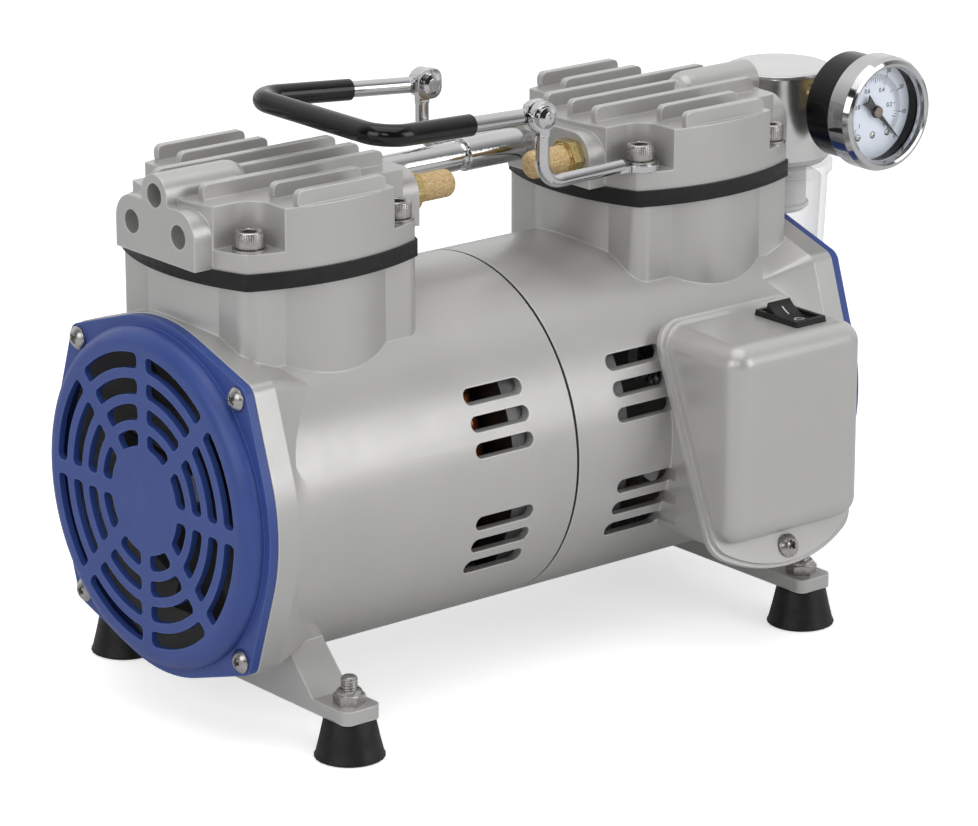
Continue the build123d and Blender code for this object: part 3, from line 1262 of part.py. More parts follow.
with BuildPart() as gauge_pointer:
    with BuildSketch(facing(-GAUGE_BACK - DIAL_DEPTH - POINTER_GAP, TRAP_X, GAUGE_Z)):
        tip = Vector(*polar(DIAL_R - 1.2, POINTER_ANGLE))
        tail = Vector(*polar(-7.5, POINTER_ANGLE))
        aside = Vector(*polar(1, POINTER_ANGLE + 90))
        Polygon(tip, aside * 1.1, tail + aside * 2.2, tail * 0.8, tail - aside * 2.2, aside * -1.1,
                align=None)
        Circle(2.4)
    extrude(amount=0.6)
    add(turned(GAUGE, (0, -1, 0), [(DIAL_DEPTH - 4, 0), (DIAL_DEPTH - 4, 1.0), (DIAL_DEPTH + POINTER_GAP, 1.0),
                                   (DIAL_DEPTH + POINTER_GAP, 2.4), (DIAL_DEPTH + POINTER_GAP + 1.4, 2.0),
                                   (DIAL_DEPTH + POINTER_GAP + 1.4, 0)]))
gauge_pointer.part.label = "gauge_pointer"
export_step(gauge_pointer.part, "parts/gauge_pointer.step")
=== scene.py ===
"""Studio scene of a twin-head diaphragm vacuum pump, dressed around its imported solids.

Metres, in the frame of the solids: +X from the front guard to the trap, -Y the side with the terminal
box, +Z up from the bench.
"""
from math import cos, pi, radians, sin, sqrt

import bmesh
import bpy
from mathutils import Matrix, Vector, noise
from mathutils.bvhtree import BVHTree


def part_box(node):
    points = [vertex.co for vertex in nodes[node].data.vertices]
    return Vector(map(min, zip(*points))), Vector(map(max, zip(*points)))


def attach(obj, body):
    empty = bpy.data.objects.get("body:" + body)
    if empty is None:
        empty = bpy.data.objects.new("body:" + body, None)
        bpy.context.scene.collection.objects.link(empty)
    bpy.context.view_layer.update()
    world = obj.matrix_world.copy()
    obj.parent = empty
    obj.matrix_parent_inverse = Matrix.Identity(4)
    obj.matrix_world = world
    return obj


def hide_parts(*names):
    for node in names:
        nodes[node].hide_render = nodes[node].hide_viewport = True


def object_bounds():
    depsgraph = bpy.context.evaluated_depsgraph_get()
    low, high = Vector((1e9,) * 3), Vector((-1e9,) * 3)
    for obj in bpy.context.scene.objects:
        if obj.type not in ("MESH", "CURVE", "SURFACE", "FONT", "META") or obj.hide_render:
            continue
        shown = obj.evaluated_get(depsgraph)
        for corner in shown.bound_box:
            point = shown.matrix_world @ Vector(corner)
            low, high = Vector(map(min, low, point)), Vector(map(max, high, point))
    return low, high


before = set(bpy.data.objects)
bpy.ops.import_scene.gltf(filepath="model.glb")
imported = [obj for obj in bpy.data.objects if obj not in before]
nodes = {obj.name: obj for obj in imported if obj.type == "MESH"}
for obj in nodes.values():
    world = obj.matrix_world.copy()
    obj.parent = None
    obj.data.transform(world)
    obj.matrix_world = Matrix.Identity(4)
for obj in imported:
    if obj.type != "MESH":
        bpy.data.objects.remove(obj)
cad_box = [list(corner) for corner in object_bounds()]
MM = 0.001


# ---- cast housings and cylinder heads ---------------------------------------------------------------
# Two die-cast aluminium shells meet at a gasket and carry the stator between them; each is cast in one
# with its cylinder and its pair of legs. The heads are castings too. All of it is sprayed with a
# silver-grey enamel that fills the grain of the mould; its sharp edges get a lighter grey, a painted
# highlight.
CASTING_GREY = (0.485, 0.480, 0.470)
# Lighter grey painted on the castings' sharp edges: a painted highlight.
EDGE_HIGHLIGHT_GREY = (0.62, 0.615, 0.60)


def add(tree, kind, inputs=None, **options):
    """One shader node, its options set, its inputs filled or linked."""
    made = tree.nodes.new("ShaderNode" + kind)
    for name, value in options.items():
        setattr(made, name, value)
    for name, value in (inputs or {}).items():
        if isinstance(value, bpy.types.NodeSocket):
            tree.links.new(value, made.inputs[name])
        else:
            made.inputs[name].default_value = value
    return made


def cloud(tree, size, low, high, detail=3.0, stretch=(1, 1, 1)):
    """Soft noise with lumps of a given size in metres, running between two values."""
    place = add(tree, "TexCoord").outputs["Object"]
    drawn = add(tree, "Mapping", {"Vector": place, "Scale": [s / size for s in stretch]})
    lumps = add(tree, "TexNoise", {"Vector": drawn.outputs[0], "Scale": 1.0, "Detail": detail})
    ranged = add(tree, "MapRange", {"Value": lumps.outputs[0], "From Min": 0.3, "From Max": 0.7,
                                    "To Min": low, "To Max": high})
    return ranged.outputs[0]


def tinted(tree, first, second, share):
    """A colour between two colours."""
    mix = add(tree, "Mix", {0: share, 6: (*first, 1), 7: (*second, 1)}, data_type="RGBA")
    return mix.outputs[2]


def worn_edge(tree, reach):
    """1 on sharp edges, falling to 0 on open faces: the mask for rubbed edges and for painted edge
    highlights.
    """
    soft = add(tree, "Bevel", {"Radius": reach}, samples=8).outputs[0]
    true = add(tree, "NewGeometry").outputs["True Normal"]
    likeness = add(tree, "VectorMath", {0: soft, 1: true}, operation="DOT_PRODUCT").outputs["Value"]
    return add(tree, "MapRange", {"Value": likeness, "From Min": 0.995, "From Max": 0.86}).outputs[0]


def finish(name, colour, second, lumps, rough, grain, depth, metal=0.0, edge=None, rounding=0.25,
           **sockets):
    """A surface: two tones in soft lumps, roughness and bump from its grain, and edges that catch light."""
    material = bpy.data.materials.new(name)
    material.use_nodes = True
    tree = material.node_tree
    shader = tree.nodes["Principled BSDF"]
    tone = tinted(tree, colour, second, cloud(tree, lumps, 0.0, 1.0))
    # Edge colour on the sharp edges: rubbed wear on the blue guards, a painted highlight on the castings.
    if edge:
        tone = add(tree, "Mix", {0: worn_edge(tree, 2 * rounding * MM), 6: tone, 7: (*edge, 1)},
                   data_type="RGBA").outputs[2]
    tree.links.new(tone, shader.inputs["Base Color"])
    tree.links.new(cloud(tree, lumps / 3, rough[0], rough[1]), shader.inputs["Roughness"])
    shader.inputs["Metallic"].default_value = metal
    for socket, value in sockets.items():
        shader.inputs[socket.replace("_", " ")].default_value = value
    rounded = add(tree, "Bevel", {"Radius": rounding * MM}, samples=6).outputs[0]
    bump = add(tree, "Bump", {"Height": cloud(tree, grain, 0.0, 1.0), "Distance": depth, "Normal": rounded})
    tree.links.new(bump.outputs[0], shader.inputs["Normal"])
    return material


def dress(material, *names):
    """Gives CAD nodes their finish."""
    for name in names:
        for slot in nodes[name].material_slots:
            slot.material = material


casting = finish("silver_grey_enamel", CASTING_GREY, tuple(0.95 * c for c in CASTING_GREY), 0.03,
                 (0.34, 0.40), 0.0006, 0.000012, metal=0.5, edge=EDGE_HIGHLIGHT_GREY, rounding=0.6,
                 Specular_IOR_Level=0.5, Coat_Weight=0.35, Coat_Roughness=0.22)
dress(casting, "front_housing", "rear_housing", "front_head", "rear_head")


# ---- gasket, diaphragm rims and valve plates --------------------------------------------------------
# The seam gasket and the diaphragms are cut from black nitrile rubber; the valve plates over them are
# steel with a black crackle coat. Their edges show as thin dark bands between the castings.
rubber = finish("nitrile_rubber", (0.006, 0.006, 0.006), (0.011, 0.0105, 0.010), 0.008, (0.42, 0.6),
                0.0004, 0.00003, Specular_IOR_Level=0.35)
plate_coat = finish("black_plate_coat", (0.006, 0.006, 0.006), (0.011, 0.0105, 0.010), 0.006, (0.36, 0.5),
                    0.0007, 0.00006, rounding=0.4, Specular_IOR_Level=0.35)
dress(rubber, "seam_gasket", "front_diaphragm", "rear_diaphragm", "bowl_seal")
dress(plate_coat, "front_valve_plate", "rear_valve_plate")


# ---- fan guards and fans ----------------------------------------------------------------------------
# The guards are moulded in blue nylon with a fine satin skin, brighter where the edges of the slots are
# rubbed. The fans behind them are moulded in black nylon and pressed on the shaft.
blue = finish("blue_nylon", (0.032, 0.066, 0.262), (0.028, 0.058, 0.235), 0.02, (0.36, 0.44), 0.0005,
              0.00001, edge=(0.06, 0.11, 0.36), rounding=0.5, Specular_IOR_Level=0.45)
fan_nylon = finish("fan_nylon", (0.010, 0.010, 0.011), (0.018, 0.018, 0.018), 0.01, (0.4, 0.55),
                   0.0005, 0.00002)
dress(blue, "front_guard", "rear_guard")
dress(fan_nylon, "front_fan", "rear_fan")


# ---- motor and crank drive --------------------------------------------------------------------------
# Stator and rotor are stacks of half-millimetre electrical steel sheets, so their bores and rims are
# finely lined. The rotor's end rings are cast aluminium, the shaft and the eccentrics ground steel.
SHEET_LINES = 1000 / 3.1
SHEET_RELIEF = 0.06 * MM


def laminated():
    """Dark steel with the fine lines of the stacked sheets across the shaft."""
    material = finish("electrical_steel", (0.10, 0.10, 0.105), (0.16, 0.155, 0.15), 0.012, (0.35, 0.5),
                      0.0004, 0.00001, metal=0.9)
    tree = material.node_tree
    place = add(tree, "TexCoord").outputs["Object"]
    sheets = add(tree, "TexWave", {"Vector": place, "Scale": SHEET_LINES}, bands_direction="X")
    lines = add(tree, "Bump", {"Height": sheets.outputs[1], "Distance": SHEET_RELIEF})
    tree.links.new(lines.outputs[0], tree.nodes["Principled BSDF"].inputs["Normal"])
    return material


ground_steel = finish("ground_steel", (0.42, 0.42, 0.43), (0.50, 0.50, 0.50), 0.01, (0.2, 0.32), 0.0003,
                      0.000004, metal=1.0)
die_cast = finish("die_cast_alloy", (0.50, 0.51, 0.52), (0.60, 0.60, 0.61), 0.008, (0.34, 0.48), 0.0005,
                  0.00002, metal=0.95)
capacitor_white = finish("capacitor_case", (0.74, 0.73, 0.70), (0.80, 0.79, 0.76), 0.02, (0.3, 0.4),
                         0.0005, 0.00001)
dress(laminated(), "stator_core", "rotor_core")
dress(ground_steel, "motor_shaft", "main_bearings", "front_eccentric", "rear_eccentric", "front_rod_bearing",
      "rear_rod_bearing", "housing_bolts", "valve_reeds")
dress(die_cast, "rotor_rings", "front_rod", "rear_rod", "front_clamp_disc", "rear_clamp_disc")
dress(capacitor_white, "capacitor")


# ---- stator windings --------------------------------------------------------------------------------
# Enamelled copper wire, wound in bundles and laced into a ring at each end of the stator. Its reddish
# brown shows through the cooling slots in the side of the motor.
WIRE = 1.1 * MM
BUNDLES = 24
COIL_BORE = 0.7         # inner radius of the ring as a share of its outer one


def piece(name, shape, material, body, places=(Matrix(),), sharp=38):
    """One object that repeats a shape at each place; it is smooth across all but its sharp edges."""
    pattern = bpy.data.meshes.new(name)
    bmesh.ops.recalc_face_normals(shape, faces=shape.faces)
    shape.to_mesh(pattern)
    shape.free()
    whole = bmesh.new()
    for place in places:
        start = len(whole.verts)
        whole.from_mesh(pattern)
        whole.verts.ensure_lookup_table()
        bmesh.ops.transform(whole, matrix=place, verts=whole.verts[start:])
    whole.to_mesh(pattern)
    whole.free()
    pattern.shade_smooth()
    pattern.set_sharp_from_angle(angle=radians(sharp))
    made = bpy.data.objects.new(name, pattern)
    bpy.context.scene.collection.objects.link(made)
    pattern.materials.append(material)
    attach(made, body)
    return made


def tube_of_rings(rings, closed):
    """Mesh skinned over rings of points that all have as many points."""
    shape = bmesh.new()
    loops = [[shape.verts.new(spot) for spot in ring] for ring in rings]
    pairs = list(zip(loops, loops[1:])) + ([(loops[-1], loops[0])] if closed else [])
    for low, high in pairs:
        for k in range(len(low)):
            j = (k + 1) % len(low)
            shape.faces.new((low[k], low[j], high[j], high[k]))
    if not closed:
        shape.faces.new(loops[0][::-1])
        shape.faces.new(loops[-1])
    return shape


def seat(origin, axis):
    """Place of a shape drawn about +Z that now stands on origin along axis."""
    return Matrix.Translation(origin) @ Vector(axis).to_track_quat("Z", "Y").to_matrix().to_4x4()


def solids(name):
    """Lowest and highest corner of each separate solid of a CAD node."""
    joined = bmesh.new()
    joined.from_mesh(nodes[name].data)
    bmesh.ops.remove_doubles(joined, verts=joined.verts, dist=0.002 * MM)
    left, boxes = set(joined.verts), []
    while left:
        front, group = [left.pop()], []
        while front:
            vert = front.pop()
            group.append(vert.co.copy())
            near = {edge.other_vert(vert) for edge in vert.link_edges} & left
            left -= near
            front.extend(near)
        boxes.append((Vector(map(min, zip(*group))), Vector(map(max, zip(*group)))))
    joined.free()
    return sorted(boxes, key=lambda box: tuple(box[0]))


def coil_ring(length, inner, outer):
    """Ring of wire bundles about +Z: wires lie side by side and cross over each other at every bundle."""
    rings = []
    round_steps, cross_steps = BUNDLES * 12, 72
    middle, half = (inner + outer) / 2, (outer - inner) / 2 - WIRE * 0.5
    for k in range(round_steps):
        turn = 2 * pi * k / round_steps
        bulge = 0.90 + 0.08 * abs(sin(BUNDLES * turn / 2))
        ring = []
        for j in range(cross_steps):
            a = 2 * pi * j / cross_steps
            strand = WIRE * 0.22 * abs(sin(9 * a + 1.5 * sin(BUNDLES * turn / 2)))
            out = middle + (half * bulge + strand) * cos(a)
            up = length / 2 + ((length / 2 - WIRE) * bulge + strand) * sin(a)
            ring.append((out * cos(turn), out * sin(turn), up))
        rings.append(ring)
    return tube_of_rings(rings, closed=True)


copper = finish("enamelled_copper", (0.30, 0.085, 0.028), (0.42, 0.14, 0.05), 0.004, (0.22, 0.36), 0.0004,
                0.00001, metal=0.8, Coat_Weight=0.5, Coat_Roughness=0.15)
coils = solids("windings")
coil_places = [seat(((low.x if way > 0 else high.x), (low.y + high.y) / 2, (low.z + high.z) / 2), (way, 0, 0))
               for (low, high), way in zip(coils, (-1, 1))]
coil_long = coils[0][1].x - coils[0][0].x
coil_out = (coils[0][1].y - coils[0][0].y) / 2
windings = piece("wound_coils", coil_ring(coil_long, coil_out * COIL_BORE, coil_out), copper, "frame",
                 coil_places, sharp=80)
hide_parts("windings")


# ---- head bolts and washers -------------------------------------------------------------------------
# M6 socket-head bolts in stainless steel: a knurled rim, a bevelled top and a 5 mm hexagon socket. They
# clamp the head, valve plate and diaphragm to the cylinder, four to a head.
KNURLS = 44
KNURL_DEPTH = 0.09 * MM
SOCKET = 2.5 * MM
BOLT_HEAD = 6.0 * MM
SHANK_R = 3.0 * MM
SHANK_L = 8 * MM


def hexagon(flat):
    """Radius of a hexagon at each angle, from its inscribed radius."""
    return lambda angle: flat / cos((angle % (pi / 3)) - pi / 6)


def turned(rings, steps=48):
    """Mesh turned about +Z from (height, radius); a radius may change with the angle."""
    loops = []
    for height, radius in rings:
        loop = []
        for k in range(steps):
            a = 2 * pi * k / steps
            out = radius(a) if callable(radius) else radius
            loop.append((out * cos(a), out * sin(a), height))
        loops.append(loop)
    return tube_of_rings(loops, closed=False)


def socket_head(radius, height):
    """Head of a socket screw that stands on z = 0, with its shank below."""
    def knurl(angle):
        return radius - KNURL_DEPTH * abs(sin(KNURLS * angle / 2))

    shank = [(-SHANK_L, 0.01 * MM), (-SHANK_L, SHANK_R), (0, SHANK_R)]
    side = [(0, radius - 0.5 * MM), (0.4 * MM, radius - 0.1 * MM), (0.5 * MM, knurl),
            (height - 1.0 * MM, knurl)]
    bevel = [(height - 0.9 * MM, radius - 0.14 * MM), (height - 0.3 * MM, radius - 0.4 * MM),
             (height, radius - 0.9 * MM)]
    socket = [(height, SOCKET + 0.75 * MM), (height - 0.3 * MM, hexagon(SOCKET)),
              (height - 3.1 * MM, hexagon(SOCKET)), (height - 3.9 * MM, 0.4 * MM)]
    return turned(shank + side + bevel + socket, KNURLS * 6)


stainless = finish("stainless_steel", (0.40, 0.39, 0.38), (0.48, 0.47, 0.455), 0.002, (0.24, 0.34), 0.0002,
                   0.000004, metal=1.0, rounding=0.15)
bolt_boxes = solids("head_bolts")
bolt_radius = (bolt_boxes[0][1].x - bolt_boxes[0][0].x) / 2
bolt_places = [Matrix.Translation(((low.x + high.x) / 2, (low.y + high.y) / 2, high.z - BOLT_HEAD))
               for low, high in bolt_boxes]
head_bolts = piece("socket_bolts", socket_head(bolt_radius, BOLT_HEAD), stainless, "frame",
                   bolt_places, 30)
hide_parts("head_bolts")
dress(stainless, "head_washers")


# ---- guard screws and the cover screw ---------------------------------------------------------------
# Stainless pan-head screws with a cross recess. Four hold each guard on the lugs of its housing, and one
# longer screw holds the terminal cover at its foot.
GUARD_SCREW_R = 4.3 * MM
GUARD_SCREW_H = 2.9 * MM
COVER_SCREW_R = 4.4 * MM
COVER_SCREW_H = 3.1 * MM
COVER_SCREW_SEAT = 3.2 * MM
COVER_LEAN = 22         # degrees, of the foot of the cover that the screw goes through
CROSS_ARM = 0.42        # half length and half width of the cross, as shares of the head's radius
CROSS_SLOT = 0.12
CROSS_DEPTH = 0.85


def pan_head(radius, height):
    """Domed screw head on z = 0 with a cross pressed into its top."""
    rings = 26
    turns = [2 * pi * k / 96 for k in range(96)]
    loops = [[(0.999 * radius * cos(a), 0.999 * radius * sin(a), 0.0) for a in turns]]
    for k in range(rings):
        share = cos(pi / 2 * k / rings)
        dome = height * (0.3 + 0.7 * (1 - share ** 2.6))
        loop = []
        for a in turns:
            x, y = share * cos(a), share * sin(a)
            along, beside = max(abs(x), abs(y)), min(abs(x), abs(y))
            inside = min((CROSS_ARM - along) / 0.16, (CROSS_SLOT - beside) / 0.07 + 0.5, 1.0)
            pressed = height * CROSS_DEPTH * max(0.0, inside) * (1 - 0.55 * along)
            loop.append((x * radius, y * radius, dome - pressed))
        loops.append(loop)
    loops.append([(0.002 * radius * cos(a), 0.002 * radius * sin(a), height * 0.25) for a in turns])
    return tube_of_rings(loops, closed=False)


middle_x = (cad_box[0][0] + cad_box[1][0]) / 2
screw_places = []
for low, high in solids("guard_screws"):
    out = -1 if high.x < middle_x else 1
    face = (low.x + GUARD_SCREW_H) if out < 0 else (high.x - GUARD_SCREW_H)
    tightened = Matrix.Rotation(len(screw_places) * 0.7, 4, "Z")
    screw_places.append(seat((face, (low.y + high.y) / 2, (low.z + high.z) / 2), (out, 0, 0)) @ tightened)
guard_screws = piece("pan_head_screws", pan_head(GUARD_SCREW_R, GUARD_SCREW_H), stainless, "frame",
                     screw_places, 30)
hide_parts("guard_screws")

out_of_lip = Vector((0, -cos(radians(COVER_LEAN)), sin(radians(COVER_LEAN))))
screw_points = [v.co for v in nodes["cover_screw"].data.vertices]
screw_top = max(p.dot(out_of_lip) for p in screw_points)
crown = [p for p in screw_points if p.dot(out_of_lip) > screw_top - 0.1 * MM]
screw_seat = sum(crown, Vector()) / len(crown) - out_of_lip * COVER_SCREW_SEAT
cover_screw = piece("cover_pan_head", pan_head(COVER_SCREW_R, COVER_SCREW_H), stainless, "frame",
                    [seat(screw_seat, out_of_lip) @ Matrix.Rotation(0.35, 4, "Z")], 30)
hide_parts("cover_screw")


# ---- feet, studs and nuts ---------------------------------------------------------------------------
# Each leg stands on a moulded rubber cone with an M6 stud, held by a lock nut with a nylon collar. The
# mould leaves a slightly ragged lip around the base of the cone.
foot_boxes = solids("rubber_feet")
FOOT_R = (foot_boxes[0][1].x - foot_boxes[0][0].x) / 2
FOOT_H = foot_boxes[0][1].z - foot_boxes[0][0].z
FOOT_TOP_R = FOOT_R * 0.725
STUD_R = 3.0 * MM
PITCH = 1.0 * MM
THREAD_DEPTH = 0.3 * MM
MOULD_LIP = 0.12 * MM


def ragged(angle):
    """Base of the rubber cone with its moulding lip."""
    return FOOT_R - MOULD_LIP + MOULD_LIP * sin(31 * angle) * sin(7 * angle)


def thread(height):
    """Cross-section of the stud at a height: it turns once in each pitch."""
    return lambda angle: STUD_R - THREAD_DEPTH * (0.5 + 0.5 * cos(2 * pi * height / PITCH - angle))


feet_places = [Matrix.Translation(((low.x + high.x) / 2, (low.y + high.y) / 2, 0))
               for low, high in foot_boxes]
sole = [(0.5 * MM, 3 * MM), (0.5 * MM, FOOT_R - 4 * MM), (0, FOOT_R - 3.5 * MM), (0, FOOT_R - 1.2 * MM),
        (0.5 * MM, ragged), (1.1 * MM, ragged)]
flank = [(1.6 * MM, FOOT_R - 0.5 * MM), (FOOT_H * 0.5, (FOOT_R + FOOT_TOP_R) / 2 - 0.2 * MM),
         (FOOT_H - 0.8 * MM, FOOT_TOP_R + 0.1 * MM), (FOOT_H, FOOT_TOP_R - 0.5 * MM), (FOOT_H, 3 * MM)]
rubber_cone = turned(sole + flank, 124)
foot_rubber = finish("foot_rubber", (0.005, 0.005, 0.005), (0.010, 0.0095, 0.009), 0.006, (0.42, 0.56),
                     0.0009, 0.00005, rounding=0.6, Specular_IOR_Level=0.35)
feet = piece("rubber_cones", rubber_cone, foot_rubber, "frame", feet_places, 50)
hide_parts("rubber_feet")

stud_top = solids("foot_studs")[0][1].z
nut_low, nut_high = solids("foot_nuts")[0]
HEX_H = (nut_high.z - nut_low.z) * 0.714
NUT_FLAT = 5.0 * MM
STUD_STEPS = 112
rise = [nut_low.z + (stud_top - 0.7 * MM - nut_low.z) * k / STUD_STEPS for k in range(STUD_STEPS + 1)]
tip = [(stud_top - 0.2 * MM, STUD_R - 0.5 * MM), (stud_top, STUD_R - 0.8 * MM), (stud_top, 0.5 * MM)]
stud = turned([(rise[0], 0.5 * MM)] + [(h, thread(h)) for h in rise] + tip, 40)
studs = piece("threaded_studs", stud, stainless, "frame", feet_places, 60)
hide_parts("foot_studs")


def chamfered(flat, height, top):
    """Hexagon trimmed by the cones that round its corners at both ends."""
    side = hexagon(flat)
    cone = flat * 1.165 - 1.6 * max(0.0, height - top + 0.55 * MM, 0.35 * MM - height)
    return lambda angle: min(side(angle), cone)


hex_mm = HEX_H / MM
levels = [0, 0.12, 0.25, 0.4, hex_mm - 0.6, hex_mm - 0.45, hex_mm - 0.3, hex_mm - 0.15, hex_mm]
collar = [(HEX_H, NUT_FLAT * 0.93), (HEX_H + 0.9 * MM, NUT_FLAT * 0.9), (HEX_H + 1.4 * MM, NUT_FLAT * 0.82),
          (HEX_H + 1.6 * MM, NUT_FLAT * 0.72), (HEX_H + 1.6 * MM, STUD_R + 0.25 * MM),
          (HEX_H + 1.1 * MM, STUD_R)]
lock_nut = turned([(0, STUD_R)] + [(h * MM, chamfered(NUT_FLAT, h * MM, HEX_H)) for h in levels] + collar, 96)
nut_places = [place @ Matrix.Translation((0, 0, nut_low.z)) @ Matrix.Rotation(0.35, 4, "Z")
              for place in feet_places]
nuts = piece("lock_nuts", lock_nut, stainless, "frame", nut_places, 28)
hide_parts("foot_nuts")


# ---- exhaust silencers ------------------------------------------------------------------------------
# A brass hexagon screws into each head and carries a thimble of sintered bronze: beads of under half a
# millimetre, baked together so that air leaves through the gaps between them.
BEAD = 0.42 * MM
THIMBLE_R = 5.2 * MM
BRASS_FLAT = 6.5 * MM
BRASS_LONG = 5.0 * MM
BRASS_RIM = 0.25 * MM


def sintered(length, radius):
    """Thimble about +Z whose skin is covered with beads."""
    outline = [(0, radius * 0.6), (0, radius)]
    outline += [(length * 0.82 * k / 60, radius) for k in range(1, 61)]
    for k in range(1, 22):
        turn = pi / 2 * k / 22
        outline.append((length * 0.82 + length * 0.18 * sin(turn), radius * (0.42 + 0.58 * cos(turn))))
    outline += [(length, radius * 0.42 * (1 - k / 10)) for k in range(10)]
    rings = []
    steps = 120
    for height, size in outline:
        ring = []
        for k in range(steps):
            spot = Vector((size * cos(2 * pi * k / steps), size * sin(2 * pi * k / steps), height))
            gap = noise.voronoi(spot / (1.7 * BEAD))[0][0]
            swell = BEAD * 0.5 * (sqrt(max(0.0, 1 - min(1.0, gap * gap * 2.2))) - 1.0)
            inward = Vector((spot.x, spot.y, max(0.0, height - length * 0.8))).normalized()
            ring.append(spot + inward * swell)
        rings.append(ring)
    return tube_of_rings(rings, closed=False)


bronze = finish("sintered_bronze", (0.42, 0.28, 0.125), (0.78, 0.58, 0.31), 0.0007, (0.4, 0.6), 0.0003,
                0.00006, metal=0.35, rounding=0.1)
brass = finish("turned_brass", (0.52, 0.40, 0.17), (0.60, 0.47, 0.21), 0.004, (0.2, 0.32), 0.0003, 0.00001,
               metal=1.0, rounding=0.3)
thimbles = solids("silencer_bodies")
thimble_long = thimbles[0][1].x - thimbles[0][0].x
thimble_places = []
for low, high in thimbles:
    inward = 1 if (low.x + high.x) / 2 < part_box("seam_gasket")[0].x else -1
    start = low.x if inward > 0 else high.x
    thimble_places.append(seat((start, (low.y + high.y) / 2, (low.z + high.z) / 2), (inward, 0, 0)))
silencers = piece("bronze_thimbles", sintered(thimble_long, THIMBLE_R), bronze, "frame",
                  thimble_places, 80)
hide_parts("silencer_bodies")

fitting_low, fitting_high = solids("silencer_nuts")[0]
fitting_long = fitting_high.x - fitting_low.x - 0.3 * MM
mouth = [(0, THIMBLE_R * 0.7), (0, THIMBLE_R + 0.35 * MM), (BRASS_RIM, THIMBLE_R + 0.6 * MM)]
flats = [(h * MM, chamfered(BRASS_FLAT, h * MM - BRASS_RIM, BRASS_LONG - BRASS_RIM))
         for h in (0.25, 0.35, 0.45, 0.6, 2.5, 4.4, 4.6, 4.8, 5.0)]
spigot = [(BRASS_LONG, THIMBLE_R), (fitting_long, THIMBLE_R), (fitting_long, THIMBLE_R * 0.6)]
into_head = [place @ Matrix.Rotation(pi, 4, "X") for place in thimble_places]
hexagons = piece("brass_hexagons", turned(mouth + flats + spigot, 96), brass, "frame", into_head, 24)
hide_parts("silencer_nuts")
dress(brass, "trap_fittings", "gauge_stem")


# ---- crossover tube and handle ----------------------------------------------------------------------
# The intake tube between the heads, the handle's bar, its two posts and their screws are steel, polished
# and chrome plated. A black vinyl sleeve is pulled over the grip.
chrome = finish("chrome_plate", (0.55, 0.55, 0.56), (0.59, 0.59, 0.60), 0.02, (0.05, 0.12), 0.0015,
                0.000006, metal=1.0, rounding=0.4)
vinyl = finish("vinyl_sleeve", (0.004, 0.004, 0.004), (0.006, 0.006, 0.006), 0.02, (0.12, 0.2), 0.002,
               0.00002, rounding=0.5, Specular_IOR_Level=0.4)
dress(chrome, "crossover_front", "crossover_rear", "handle_bar", "handle_posts", "pivot_screws")
dress(vinyl, "handle_sleeve")


# ---- terminal box -----------------------------------------------------------------------------------
# The cover is moulded in grey plastic to match the castings and closes over the capacitor and the
# terminals. The rocker switch that snaps into its top and the cord gland are black nylon.
cover_grey = finish("grey_moulding", (0.475, 0.470, 0.458), (0.455, 0.450, 0.438), 0.04, (0.32, 0.38), 0.0005,
                    0.000008, metal=0.35, rounding=0.5, Coat_Weight=0.4, Coat_Roughness=0.2)
switch_black = finish("switch_black", (0.006, 0.006, 0.006), (0.009, 0.009, 0.009), 0.01, (0.34, 0.42),
                      0.0004, 0.00001, rounding=0.3, Specular_IOR_Level=0.35)
dress(cover_grey, "terminal_cover")
dress(switch_black, "switch_frame", "switch_rocker", "cord_gland")


# ---- water trap -------------------------------------------------------------------------------------
# The cap is turned from aluminium and finely blasted. The bowl below it is clear polycarbonate, so the
# white porous element inside shows.
cap_alloy = finish("blasted_aluminium", (0.66, 0.655, 0.65), (0.70, 0.70, 0.695), 0.02, (0.2, 0.26), 0.0003,
                   0.000004, metal=0.9, rounding=0.5)
porous = finish("porous_element", (0.78, 0.78, 0.76), (0.84, 0.84, 0.82), 0.002, (0.6, 0.8), 0.0004, 0.00005)
FACE_HAZE = 0.10
RIM_HAZE = 0.52
clear = finish("clear_polycarbonate", (0.70, 0.705, 0.72), (0.80, 0.80, 0.81), 0.01, (0.10, 0.2), 0.004,
               0.00001, rounding=0.3)
rim = add(clear.node_tree, "LayerWeight", {"Blend": 0.35}).outputs["Facing"]
haze = add(clear.node_tree, "MapRange", {"Value": rim, "To Min": FACE_HAZE, "To Max": RIM_HAZE})
clear.node_tree.links.new(haze.outputs[0], clear.node_tree.nodes["Principled BSDF"].inputs["Alpha"])
dress(cap_alloy, "trap_cap")
dress(porous, "filter_element")
dress(clear, "trap_bowl")


# ---- vacuum gauge -----------------------------------------------------------------------------------
# A 40 mm gauge: black pressed case, chrome bezel, flat lens, and a white printed dial with an outer
# scale to 76 and an inner one to 1. Three small screws hold the dial in the case.
SWEEP = 270.0           # degrees of the whole scale, and where its zero stands
ZERO = -45.0
OUTER_FULL = 76
INNER_FULL = 1.034
CENTRE = (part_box("gauge_dial")[0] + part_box("gauge_dial")[1]) / 2
DIAL_FACE = Vector((CENTRE.x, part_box("gauge_dial")[0].y, CENTRE.z))
ON_DIAL = Matrix.Translation(DIAL_FACE) @ Matrix.Rotation(radians(90), 4, "X")
INK = 0.04 * MM
OUTER_TICKS_R = 13.0 * MM
INNER_TICKS_R = 12.4 * MM
LINE_IN = 12.5 * MM
LINE_OUT = 12.7 * MM
OUTER_NUMBERS_R = 16.4 * MM
INNER_NUMBERS_R = 8.6 * MM
DIAL_SCREWS_APART = 7.6     # millimetres; each screw is also turned by its own amount
DIAL_SCREWS_DOWN = 9.4 * MM
BOLD = 0.05 * MM


